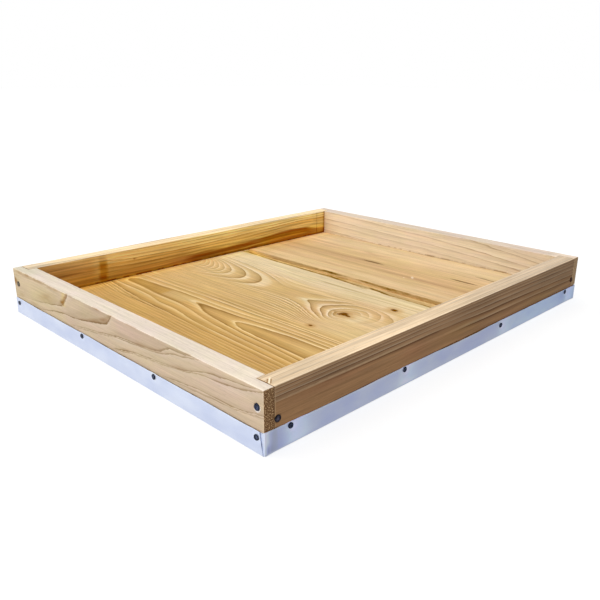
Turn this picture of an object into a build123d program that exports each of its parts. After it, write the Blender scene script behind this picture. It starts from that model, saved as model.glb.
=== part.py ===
from build123d import *
import os

# Telescoping outer cover of a ten-frame beehive, lying on its metal roof with the open rim up.
# Millimetres. X runs along the long sides, Y along the short ones, +Z out of the open side.
# The origin is on the underside of the metal, at the middle of the cover.

# ---------------------------------------------------------------- driving dimensions
LENGTH = 559.0            # wood, outside, along X (22 in)
WIDTH = 464.0             # wood, outside, along Y (18 1/4 in)

SHEET = 0.5               # thickness of the metal sheet
PLANK_T = 19.0            # thickness of the roof planks
RAIL_H = 38.0             # height of the rim boards
RAIL_T = 21.0             # thickness of the rim boards
TONGUE = 11.0             # what is left of an end rail outside its corner rabbet

SEAM_FRONT = 60.0         # face edge of the wide plank at the front; the edge was not sawn quite square
SEAM_REAR = 69.0          # and at the rear
SEAM_FAR = 85.0           # face edge of the narrow plank, across the open channel
CHANNEL_D = 4.5           # depth of that channel
LAP = 12.0                # how far the narrow plank laps over the lip
LAP_GAP = 0.5             # play in the lap, both ways

FLANGE_TOP = 20.0         # top edge of the metal flanges above the roof's underside
LAYER_GAP = 0.1           # play between a folded corner tab and its neighbours
TAB_LEN = 30.0            # length of a corner tab round the corner
TAB_DROP = 1.0            # how far a tab stays below the flange's top edge
END_TRIM_TOP = 4.7        # an end flange stops this far from the corner at its top edge
END_TRIM_BOTTOM = 1.4     # and this far at the bend
BEND_R = 0.45             # outside radius of the folds
ARRIS = 0.5               # eased edges of the rim boards

FLANGE_SHANK_R = 0.8      # nails that hold the flange
FLANGE_HEAD_R = 2.6
FLANGE_HEAD_T = 0.9
FLANGE_NAIL_LEN = 22.0

CORNER_SHANK_R = 1.3      # nails of the corner joints
CORNER_HEAD_R = 3.2
CORNER_HEAD_T = 1.2
CORNER_HEAD_SET = 0.7     # how deep the head is driven into the wood
CORNER_NAIL_LEN = 45.0

PLANK_SHANK_R = 1.3       # nails that hold the planks to the rim, under the metal
PLANK_HEAD_R = 3.2
PLANK_HEAD_T = 1.2
PLANK_NAIL_LEN = 45.0

HOLE_PLAY = 0.02          # radial play of a nail in its hole

# ---------------------------------------------------------------- derived levels and faces
HX = LENGTH / 2
HY = WIDTH / 2
Z_PLANK = SHEET
Z_RIM = SHEET + PLANK_T
Z_TOP = Z_RIM + RAIL_H
Z_CHANNEL = Z_RIM - CHANNEL_D
LIP_END = SEAM_FAR + LAP - LAP_GAP              # end of the wide plank's lip
LAP_IN = SEAM_FAR + LAP                         # inner end of the narrow plank's rabbet

TAB_X = HX + SHEET                              # outside of the corner tabs
END_X = TAB_X + LAYER_GAP + SHEET               # outside of the end flanges
SIDE_Y = HY + SHEET                             # outside of the side flanges

# ---------------------------------------------------------------- nail positions
# flange nails of the left and right ends: (y, z)
LEFT_FLANGE = [(-224.1, 14.8), (-78.7, 17.0), (60.3, 17.3), (222.2, 14.4)]
RIGHT_FLANGE = [(-223.0, 14.6), (-71.0, 16.9), (66.0, 17.1), (223.6, 14.7)]
# flange nails of the front and rear sides: (x, z)
FRONT_FLANGE = [(-251.8, 17.4), (-99.6, 17.2), (82.7, 13.6), (249.2, 15.6)]
REAR_FLANGE = [(-250.0, 16.8), (-96.0, 17.0), (79.0, 13.6), (251.0, 16.2)]
# corner nails through the end rails: (y, z)
LEFT_CORNER = [(-223.5, 40.6), (220.8, 39.2)]
RIGHT_CORNER = [(-222.4, 39.8), (222.0, 40.2)]
# corner nails through the side rails: (x, z)
FRONT_CORNER = [(-264.9, 28.4), (265.8, 28.6)]
REAR_CORNER = [(-265.4, 29.0), (264.6, 28.2)]
# plank nails, driven up from the roof side: (x, y)
Y_SIDE = HY - RAIL_T / 2
X_END = HX - RAIL_T / 2
WIDE_NAILS = [(-186.0, -Y_SIDE), (-52.0, -Y_SIDE), (38.0, -Y_SIDE),
              (-184.0, Y_SIDE), (-55.0, Y_SIDE), (36.0, Y_SIDE),
              (-X_END, -150.0), (-X_END, 2.0), (-X_END, 148.0)]
NARROW_NAILS = [(128.0, -Y_SIDE), (214.0, -Y_SIDE),
                (131.0, Y_SIDE), (211.0, Y_SIDE),
                (X_END, -146.0), (X_END, -3.0), (X_END, 150.0)]

# planes on the outside faces, with their normals pointing out of the cover
LEFT_WOOD = Plane(origin=(-HX, 0, 0), x_dir=(0, 1, 0), z_dir=(-1, 0, 0))
RIGHT_WOOD = Plane(origin=(HX, 0, 0), x_dir=(0, 1, 0), z_dir=(1, 0, 0))
FRONT_WOOD = Plane(origin=(0, -HY, 0), x_dir=(1, 0, 0), z_dir=(0, -1, 0))
REAR_WOOD = Plane(origin=(0, HY, 0), x_dir=(1, 0, 0), z_dir=(0, 1, 0))
LEFT_METAL = Plane(origin=(-END_X, 0, 0), x_dir=(0, 1, 0), z_dir=(-1, 0, 0))
RIGHT_METAL = Plane(origin=(END_X, 0, 0), x_dir=(0, 1, 0), z_dir=(1, 0, 0))
FRONT_METAL = Plane(origin=(0, -SIDE_Y, 0), x_dir=(1, 0, 0), z_dir=(0, -1, 0))
REAR_METAL = Plane(origin=(0, SIDE_Y, 0), x_dir=(1, 0, 0), z_dir=(0, 1, 0))
ROOF_WOOD = Plane(origin=(0, 0, Z_PLANK), x_dir=(1, 0, 0), z_dir=(0, 0, -1))

os.makedirs("parts", exist_ok=True)


def on_plane(plane, points, axis):
    """Points given as (across, height) turned into coordinates of a plane on an outside face."""
    placed = []
    for across, height in points:
        spot = Vector(across, 0, height) if axis == "x" else Vector(0, across, height)
        local = plane.to_local_coords(spot)
        placed.append((local.X, local.Y))
    return placed


def under_roof(points):
    """Points (x, y) turned into coordinates of the plane on the planks' roof side."""
    placed = []
    for x, y in points:
        local = ROOF_WOOD.to_local_coords(Vector(x, y, Z_PLANK))
        placed.append((local.X, local.Y))
    return placed


def rail_blank(sign):
    """Outline of an end rail seen from above, with a rabbet at each end; sign -1 is the left rail."""
    outer, inner, step = sign * HX, sign * (HX - RAIL_T), sign * (HX - TONGUE)
    return [(outer, -HY), (outer, HY), (step, HY), (step, HY - RAIL_T), (inner, HY - RAIL_T),
            (inner, -HY + RAIL_T), (step, -HY + RAIL_T), (step, -HY)]


def nail_holes(plane, points, radius, depth):
    """Cut straight nail holes into the part being built, from an outside face inwards."""
    with BuildSketch(plane) as rounds:
        with Locations(*points):
            Circle(radius + HOLE_PLAY)
    extrude(rounds.sketch, amount=-depth, mode=Mode.SUBTRACT)


def head_seats(plane, points, radius, depth):
    """Cut the shallow seats that driven nail heads leave in the wood."""
    with BuildSketch(plane) as rounds:
        with Locations(*points):
            Circle(radius + HOLE_PLAY)
    extrude(rounds.sketch, amount=-depth, mode=Mode.SUBTRACT)


left_corner_pts = on_plane(LEFT_WOOD, LEFT_CORNER, "y")
right_corner_pts = on_plane(RIGHT_WOOD, RIGHT_CORNER, "y")
front_corner_pts = on_plane(FRONT_WOOD, FRONT_CORNER, "x")
rear_corner_pts = on_plane(REAR_WOOD, REAR_CORNER, "x")
left_flange_pts = on_plane(LEFT_METAL, LEFT_FLANGE, "y")
right_flange_pts = on_plane(RIGHT_METAL, RIGHT_FLANGE, "y")
front_flange_pts = on_plane(FRONT_METAL, FRONT_FLANGE, "x")
rear_flange_pts = on_plane(REAR_METAL, REAR_FLANGE, "x")
wide_pts = under_roof(WIDE_NAILS)
narrow_pts = under_roof(NARROW_NAILS)

# ---------------------------------------------------------------- end rails, full width, rabbeted at both ends
with BuildPart() as left_end_rail:
    with BuildSketch(Plane.XY.offset(Z_RIM)):
        with BuildLine():
            Polyline(*rail_blank(-1), close=True)
        make_face()
    extrude(amount=RAIL_H)
    top_edges = left_end_rail.faces().sort_by(Axis.Z)[-1].edges()
    chamfer(top_edges.filter_by(Axis.Y).group_by(Axis.X)[0], ARRIS)
    head_seats(LEFT_WOOD, left_corner_pts, CORNER_HEAD_R, CORNER_HEAD_SET)
    head_seats(FRONT_WOOD, front_corner_pts, CORNER_HEAD_R, CORNER_HEAD_SET)
    head_seats(REAR_WOOD, rear_corner_pts, CORNER_HEAD_R, CORNER_HEAD_SET)
    nail_holes(LEFT_WOOD, left_corner_pts, CORNER_SHANK_R, CORNER_NAIL_LEN)
    nail_holes(FRONT_WOOD, front_corner_pts, CORNER_SHANK_R, CORNER_NAIL_LEN)
    nail_holes(REAR_WOOD, rear_corner_pts, CORNER_SHANK_R, CORNER_NAIL_LEN)
    nail_holes(ROOF_WOOD, wide_pts, PLANK_SHANK_R, PLANK_NAIL_LEN)
left_end_rail.part.label = "left_end_rail"
export_step(left_end_rail.part, "parts/left_end_rail.step")

with BuildPart() as right_end_rail:
    with BuildSketch(Plane.XY.offset(Z_RIM)):
        with BuildLine():
            Polyline(*rail_blank(1), close=True)
        make_face()
    extrude(amount=RAIL_H)
    top_edges = right_end_rail.faces().sort_by(Axis.Z)[-1].edges()
    chamfer(top_edges.filter_by(Axis.Y).group_by(Axis.X)[-1], ARRIS)
    head_seats(RIGHT_WOOD, right_corner_pts, CORNER_HEAD_R, CORNER_HEAD_SET)
    head_seats(FRONT_WOOD, front_corner_pts, CORNER_HEAD_R, CORNER_HEAD_SET)
    head_seats(REAR_WOOD, rear_corner_pts, CORNER_HEAD_R, CORNER_HEAD_SET)
    nail_holes(RIGHT_WOOD, right_corner_pts, CORNER_SHANK_R, CORNER_NAIL_LEN)
    nail_holes(FRONT_WOOD, front_corner_pts, CORNER_SHANK_R, CORNER_NAIL_LEN)
    nail_holes(REAR_WOOD, rear_corner_pts, CORNER_SHANK_R, CORNER_NAIL_LEN)
    nail_holes(ROOF_WOOD, narrow_pts, PLANK_SHANK_R, PLANK_NAIL_LEN)
right_end_rail.part.label = "right_end_rail"
export_step(right_end_rail.part, "parts/right_end_rail.step")

# ---------------------------------------------------------------- side rails, set into the rabbets
with BuildPart() as front_side_rail:
    with BuildSketch(Plane.XY.offset(Z_RIM)):
        with Locations((0, -HY + RAIL_T / 2)):
            Rectangle(LENGTH - 2 * TONGUE, RAIL_T)
    extrude(amount=RAIL_H)
    top_edges = front_side_rail.faces().sort_by(Axis.Z)[-1].edges()
    chamfer(top_edges.filter_by(Axis.X).group_by(Axis.Y)[0], ARRIS)
    head_seats(FRONT_WOOD, front_corner_pts, CORNER_HEAD_R, CORNER_HEAD_SET)
    nail_holes(FRONT_WOOD, front_corner_pts, CORNER_SHANK_R, CORNER_NAIL_LEN)
    nail_holes(LEFT_WOOD, left_corner_pts, CORNER_SHANK_R, CORNER_NAIL_LEN)
    nail_holes(RIGHT_WOOD, right_corner_pts, CORNER_SHANK_R, CORNER_NAIL_LEN)
    nail_holes(ROOF_WOOD, wide_pts + narrow_pts, PLANK_SHANK_R, PLANK_NAIL_LEN)
front_side_rail.part.label = "front_side_rail"
export_step(front_side_rail.part, "parts/front_side_rail.step")

with BuildPart() as rear_side_rail:
    with BuildSketch(Plane.XY.offset(Z_RIM)):
        with Locations((0, HY - RAIL_T / 2)):
            Rectangle(LENGTH - 2 * TONGUE, RAIL_T)
    extrude(amount=RAIL_H)
    top_edges = rear_side_rail.faces().sort_by(Axis.Z)[-1].edges()
    chamfer(top_edges.filter_by(Axis.X).group_by(Axis.Y)[-1], ARRIS)
    head_seats(REAR_WOOD, rear_corner_pts, CORNER_HEAD_R, CORNER_HEAD_SET)
    nail_holes(REAR_WOOD, rear_corner_pts, CORNER_SHANK_R, CORNER_NAIL_LEN)
    nail_holes(LEFT_WOOD, left_corner_pts, CORNER_SHANK_R, CORNER_NAIL_LEN)
    nail_holes(RIGHT_WOOD, right_corner_pts, CORNER_SHANK_R, CORNER_NAIL_LEN)
    nail_holes(ROOF_WOOD, wide_pts + narrow_pts, PLANK_SHANK_R, PLANK_NAIL_LEN)
rear_side_rail.part.label = "rear_side_rail"
export_step(rear_side_rail.part, "parts/rear_side_rail.step")

# ---------------------------------------------------------------- roof planks, front to back, lapped with an open channel
with BuildPart() as wide_top_plank:
    with BuildSketch(Plane.XY.offset(Z_PLANK)):
        with BuildLine():
            Polyline((-HX, -HY), (LIP_END, -HY), (LIP_END, HY), (-HX, HY), close=True)
        make_face()
    extrude(amount=PLANK_T)
    # the face is cut back to leave the lip
    with BuildSketch(Plane.XY.offset(Z_RIM)):
        with BuildLine():
            Polyline((SEAM_FRONT, -HY), (LIP_END, -HY), (LIP_END, HY), (SEAM_REAR, HY), close=True)
        make_face()
    extrude(amount=-CHANNEL_D, mode=Mode.SUBTRACT)
    nail_holes(LEFT_METAL, left_flange_pts, FLANGE_SHANK_R, FLANGE_NAIL_LEN)
    nail_holes(FRONT_METAL, front_flange_pts, FLANGE_SHANK_R, FLANGE_NAIL_LEN)
    nail_holes(REAR_METAL, rear_flange_pts, FLANGE_SHANK_R, FLANGE_NAIL_LEN)
    head_seats(ROOF_WOOD, wide_pts, PLANK_HEAD_R, PLANK_HEAD_T)
    nail_holes(ROOF_WOOD, wide_pts, PLANK_SHANK_R, PLANK_NAIL_LEN)
wide_top_plank.part.label = "wide_top_plank"
export_step(wide_top_plank.part, "parts/wide_top_plank.step")

with BuildPart() as narrow_top_plank:
    with BuildSketch(Plane.XZ.offset(-HY)):
        with BuildLine():
            Polyline((LAP_IN, Z_PLANK), (HX, Z_PLANK), (HX, Z_RIM), (SEAM_FAR, Z_RIM),
                     (SEAM_FAR, Z_CHANNEL + LAP_GAP), (LAP_IN, Z_CHANNEL + LAP_GAP), close=True)
        make_face()
    extrude(amount=WIDTH)
    nail_holes(RIGHT_METAL, right_flange_pts, FLANGE_SHANK_R, FLANGE_NAIL_LEN)
    nail_holes(FRONT_METAL, front_flange_pts, FLANGE_SHANK_R, FLANGE_NAIL_LEN)
    nail_holes(REAR_METAL, rear_flange_pts, FLANGE_SHANK_R, FLANGE_NAIL_LEN)
    head_seats(ROOF_WOOD, narrow_pts, PLANK_HEAD_R, PLANK_HEAD_T)
    nail_holes(ROOF_WOOD, narrow_pts, PLANK_SHANK_R, PLANK_NAIL_LEN)
narrow_top_plank.part.label = "narrow_top_plank"
export_step(narrow_top_plank.part, "parts/narrow_top_plank.step")

# ---------------------------------------------------------------- sheet-metal roof pan, one folded sheet
with BuildPart() as roof_pan:
    with BuildSketch(Plane.XY):
        Rectangle(2 * END_X, 2 * SIDE_Y)
    extrude(amount=SHEET)
    # side flanges, straight up from the sheet
    with BuildSketch(Plane.XY.offset(SHEET)):
        with Locations((0, -SIDE_Y + SHEET / 2), (0, SIDE_Y - SHEET / 2)):
            Rectangle(2 * TAB_X, SHEET)
    extrude(amount=FLANGE_TOP - SHEET)
    # corner tabs, the ends of the side flanges folded round onto the end rails' side
    with BuildSketch(Plane.XY.offset(SHEET + LAYER_GAP)):
        with Locations(*[(sx * (TAB_X - SHEET / 2), sy * (HY - TAB_LEN / 2)) for sx in (-1, 1) for sy in (-1, 1)]):
            Rectangle(SHEET, TAB_LEN)
    extrude(amount=FLANGE_TOP - TAB_DROP - SHEET - LAYER_GAP)
    # end flanges, outside the tabs, with slanted ends
    for plane in (LEFT_METAL, RIGHT_METAL):
        corners = [plane.to_local_coords(Vector(plane.origin.X, y, z)) for y, z in
                   ((-SIDE_Y + END_TRIM_BOTTOM, SHEET / 2), (SIDE_Y - END_TRIM_BOTTOM, SHEET / 2),
                    (SIDE_Y - END_TRIM_TOP, FLANGE_TOP), (-SIDE_Y + END_TRIM_TOP, FLANGE_TOP))]
        with BuildSketch(plane):
            with BuildLine():
                Polyline(*[(c.X, c.Y) for c in corners], close=True)
            make_face()
        extrude(amount=-SHEET)
    fillet(roof_pan.edges().group_by(Axis.Z)[0], BEND_R)
    fillet(roof_pan.edges().filter_by(Axis.Z).filter_by(
        lambda e: abs(abs(e.center().X) - TAB_X) < 0.01 and abs(abs(e.center().Y) - SIDE_Y) < 0.01), BEND_R)
    nail_holes(LEFT_METAL, left_flange_pts, FLANGE_SHANK_R, 3.0)
    nail_holes(RIGHT_METAL, right_flange_pts, FLANGE_SHANK_R, 3.0)
    nail_holes(FRONT_METAL, front_flange_pts, FLANGE_SHANK_R, 3.0)
    nail_holes(REAR_METAL, rear_flange_pts, FLANGE_SHANK_R, 3.0)
roof_pan.part.label = "roof_pan"
export_step(roof_pan.part, "parts/roof_pan.step")


# ---------------------------------------------------------------- nails: shank, flat head with a rolled edge and a dished middle
def driven_nails(plane, points, shank_r, head_r, head_t, length, stand_off):
    """Nails in the part being built: heads stand off the plane, shanks go in behind it."""
    base = plane.offset(stand_off - head_t)
    with BuildSketch(base) as heads:
        with Locations(*points):
            Circle(head_r)
    extrude(heads.sketch, amount=head_t)
    rims = [e for e in edges().filter_by(GeomType.CIRCLE)
            if (e.arc_center - base.origin).dot(base.z_dir) > head_t / 2]
    fillet(rims, head_t * 0.45)
    with BuildSketch(plane.offset(stand_off)) as dishes:
        with Locations(*points):
            Circle(head_r * 0.45)
    extrude(dishes.sketch, amount=-head_t * 0.25, taper=35, mode=Mode.SUBTRACT)
    shank = length - 4 * shank_r - head_t
    with BuildSketch(base) as shanks:
        with Locations(*points):
            Circle(shank_r)
    extrude(shanks.sketch, amount=-shank)
    with BuildSketch(base.offset(-shank)) as tips:
        with Locations(*points):
            Circle(shank_r)
    extrude(tips.sketch, amount=-4 * shank_r, taper=12)


with BuildPart() as left_flange_nails:
    driven_nails(LEFT_METAL, left_flange_pts, FLANGE_SHANK_R, FLANGE_HEAD_R, FLANGE_HEAD_T, FLANGE_NAIL_LEN, FLANGE_HEAD_T)
left_flange_nails.part.label = "left_flange_nails"
export_step(left_flange_nails.part, "parts/left_flange_nails.step")

with BuildPart() as right_flange_nails:
    driven_nails(RIGHT_METAL, right_flange_pts, FLANGE_SHANK_R, FLANGE_HEAD_R, FLANGE_HEAD_T, FLANGE_NAIL_LEN, FLANGE_HEAD_T)
right_flange_nails.part.label = "right_flange_nails"
export_step(right_flange_nails.part, "parts/right_flange_nails.step")

with BuildPart() as front_flange_nails:
    driven_nails(FRONT_METAL, front_flange_pts, FLANGE_SHANK_R, FLANGE_HEAD_R, FLANGE_HEAD_T, FLANGE_NAIL_LEN, FLANGE_HEAD_T)
front_flange_nails.part.label = "front_flange_nails"
export_step(front_flange_nails.part, "parts/front_flange_nails.step")

with BuildPart() as rear_flange_nails:
    driven_nails(REAR_METAL, rear_flange_pts, FLANGE_SHANK_R, FLANGE_HEAD_R, FLANGE_HEAD_T, FLANGE_NAIL_LEN, FLANGE_HEAD_T)
rear_flange_nails.part.label = "rear_flange_nails"
export_step(rear_flange_nails.part, "parts/rear_flange_nails.step")

CORNER_PROUD = CORNER_HEAD_T - CORNER_HEAD_SET

with BuildPart() as left_corner_nails:
    driven_nails(LEFT_WOOD, left_corner_pts, CORNER_SHANK_R, CORNER_HEAD_R, CORNER_HEAD_T, CORNER_NAIL_LEN, CORNER_PROUD)
left_corner_nails.part.label = "left_corner_nails"
export_step(left_corner_nails.part, "parts/left_corner_nails.step")

with BuildPart() as right_corner_nails:
    driven_nails(RIGHT_WOOD, right_corner_pts, CORNER_SHANK_R, CORNER_HEAD_R, CORNER_HEAD_T, CORNER_NAIL_LEN, CORNER_PROUD)
right_corner_nails.part.label = "right_corner_nails"
export_step(right_corner_nails.part, "parts/right_corner_nails.step")

with BuildPart() as front_corner_nails:
    driven_nails(FRONT_WOOD, front_corner_pts, CORNER_SHANK_R, CORNER_HEAD_R, CORNER_HEAD_T, CORNER_NAIL_LEN, CORNER_PROUD)
front_corner_nails.part.label = "front_corner_nails"
export_step(front_corner_nails.part, "parts/front_corner_nails.step")

with BuildPart() as rear_corner_nails:
    driven_nails(REAR_WOOD, rear_corner_pts, CORNER_SHANK_R, CORNER_HEAD_R, CORNER_HEAD_T, CORNER_NAIL_LEN, CORNER_PROUD)
rear_corner_nails.part.label = "rear_corner_nails"
export_step(rear_corner_nails.part, "parts/rear_corner_nails.step")

with BuildPart() as wide_plank_nails:
    driven_nails(ROOF_WOOD, wide_pts, PLANK_SHANK_R, PLANK_HEAD_R, PLANK_HEAD_T, PLANK_NAIL_LEN, 0.0)
wide_plank_nails.part.label = "wide_plank_nails"
export_step(wide_plank_nails.part, "parts/wide_plank_nails.step")

with BuildPart() as narrow_plank_nails:
    driven_nails(ROOF_WOOD, narrow_pts, PLANK_SHANK_R, PLANK_HEAD_R, PLANK_HEAD_T, PLANK_NAIL_LEN, 0.0)
narrow_plank_nails.part.label = "narrow_plank_nails"
export_step(narrow_plank_nails.part, "parts/narrow_plank_nails.step")

print("wood", LENGTH, "x", WIDTH, "mm, height", Z_TOP, "mm, inside",
      LENGTH - 2 * RAIL_T, "x", WIDTH - 2 * RAIL_T, "x", RAIL_H, "mm")
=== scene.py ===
import bpy
import math
import numpy as np
from mathutils import Matrix, Vector
from mathutils.kdtree import KDTree


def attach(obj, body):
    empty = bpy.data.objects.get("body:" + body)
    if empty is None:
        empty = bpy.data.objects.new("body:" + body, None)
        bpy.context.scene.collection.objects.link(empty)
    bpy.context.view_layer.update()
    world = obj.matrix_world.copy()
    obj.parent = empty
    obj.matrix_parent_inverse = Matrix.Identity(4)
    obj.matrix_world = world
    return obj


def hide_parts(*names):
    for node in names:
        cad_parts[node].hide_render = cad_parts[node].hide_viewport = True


# Telescoping hive cover lying on its metal roof with the open rim up. Lengths below are millimetres in the
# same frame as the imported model; meshes are written in metres.

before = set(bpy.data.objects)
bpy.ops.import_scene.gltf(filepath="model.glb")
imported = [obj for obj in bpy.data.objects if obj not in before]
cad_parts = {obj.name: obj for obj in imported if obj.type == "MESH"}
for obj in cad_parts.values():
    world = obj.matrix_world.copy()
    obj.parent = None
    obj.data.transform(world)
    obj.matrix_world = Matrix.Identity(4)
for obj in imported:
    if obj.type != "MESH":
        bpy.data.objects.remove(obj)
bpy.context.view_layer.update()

HX, HY = 279.5, 232.0             # wood, half length and half width
Z_RIM, Z_TOP = 19.5, 57.5         # planks' inner face, top of the rim
IN_X, IN_Y = 258.5, 211.0         # inner faces of the rim
TONGUE_X = 268.5                  # inner face of the end rails' tongues
SEAM_MID, SEAM_FAR, LIP_END = 64.5, 85.0, 96.5
Z_CHANNEL = 15.0


# ------------------------------------------------------------------ noise and curves
def lattice(ix, iy, iz, seed):
    n = (ix * 374761393 + iy * 668265263 + iz * 1440662683 + seed * 1274126177) & 0xFFFFFFFF
    n = ((n ^ (n >> 13)) * 1274126177) & 0xFFFFFFFF
    n = (n ^ (n >> 16)) & 0xFFFFFFFF
    return n.astype(np.float64) / 4294967295.0


def noise3(x, y, z=0.0, seed=0):
    """Smooth value noise, 0..1."""
    x, y, z = np.broadcast_arrays(np.asarray(x, float), np.asarray(y, float), np.asarray(z, float))
    x0, y0, z0 = np.floor(x), np.floor(y), np.floor(z)
    fx, fy, fz = [t * t * t * (t * (t * 6 - 15) + 10) for t in (x - x0, y - y0, z - z0)]
    ix, iy, iz = [t.astype(np.int64) for t in (x0, y0, z0)]
    out = 0.0
    for dx in (0, 1):
        wx = fx if dx else 1 - fx
        for dy in (0, 1):
            wy = fy if dy else 1 - fy
            for dz in (0, 1):
                wz = fz if dz else 1 - fz
                out = out + wx * wy * wz * lattice(ix + dx, iy + dy, iz + dz, seed)
    return out


def rough(x, y, z=0.0, seed=0, octaves=3):
    """Layered noise, about -1..1."""
    amp, total, norm = 1.0, 0.0, 0.0
    for k in range(octaves):
        total = total + amp * noise3(np.asarray(x) * 2 ** k, np.asarray(y) * 2 ** k, np.asarray(z) * 2 ** k, seed + 17 * k)
        norm += amp
        amp *= 0.5
    return total / norm * 2 - 1


def step(a, b, x):
    t = np.clip((np.asarray(x, float) - a) / (b - a), 0, 1)
    return t * t * (3 - 2 * t)


def bump(c, half, x):
    """1 at c, 0 beyond half on either side, smooth."""
    return step(half, 0, np.abs(np.asarray(x, float) - c))


def smin(a, b, k):
    h = np.clip(0.5 + 0.5 * (b - a) / k, 0, 1)
    return b * (1 - h) + a * h - k * h * (1 - h)


def hyp(d, e):
    return np.sqrt(d * d + e * e) - e


def curve(x, xs, ys):
    """Smooth curve through points, without overshoot."""
    xs, ys = np.asarray(xs, float), np.asarray(ys, float)
    h = np.diff(xs)
    s = np.diff(ys) / h
    m = np.zeros(len(xs))
    for i in range(1, len(xs) - 1):
        if s[i - 1] * s[i] > 0:
            w1, w2 = 2 * h[i] + h[i - 1], h[i] + 2 * h[i - 1]
            m[i] = (w1 + w2) / (w1 / s[i - 1] + w2 / s[i])
    m[0], m[-1] = s[0], s[-1]
    x = np.clip(x, xs[0], xs[-1])
    i = np.clip(np.searchsorted(xs, x) - 1, 0, len(xs) - 2)
    t = (x - xs[i]) / h[i]
    return ((2 * t ** 3 - 3 * t ** 2 + 1) * ys[i] + (t ** 3 - 2 * t ** 2 + t) * h[i] * m[i]
            + (-2 * t ** 3 + 3 * t ** 2) * ys[i + 1] + (t ** 3 - t ** 2) * h[i] * m[i + 1])


# ------------------------------------------------------------------ growth rings of each board
# u runs along the grain, v across it, w into the board from its best seen face
def ladder(s, marks, inside, beyond):
    """Ring count against s: 1, 2, 3 ... at the marks, at the given pitches before the first and after the last."""
    out = 1 + np.minimum((s - marks[0]) / inside, 0)
    for a, b in zip(marks[:-1], marks[1:]):
        out = out + np.clip((s - a) / np.maximum(b - a, 0.5), 0, 1)
    return out + np.maximum(s - marks[-1], 0) / beyond


def wide_top(u):
    """Where the straight rings begin above the eye and the arches."""
    return curve(u, [-270, -150, -100, -60, -30, 0, 20, 40, 60, 80, 100, 140, 211, 260], [11, 12, 12.5, 5.5, 0, -5.5, -7, -4, 3.5, 11.5, 18, 26, 33, 36])


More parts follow.
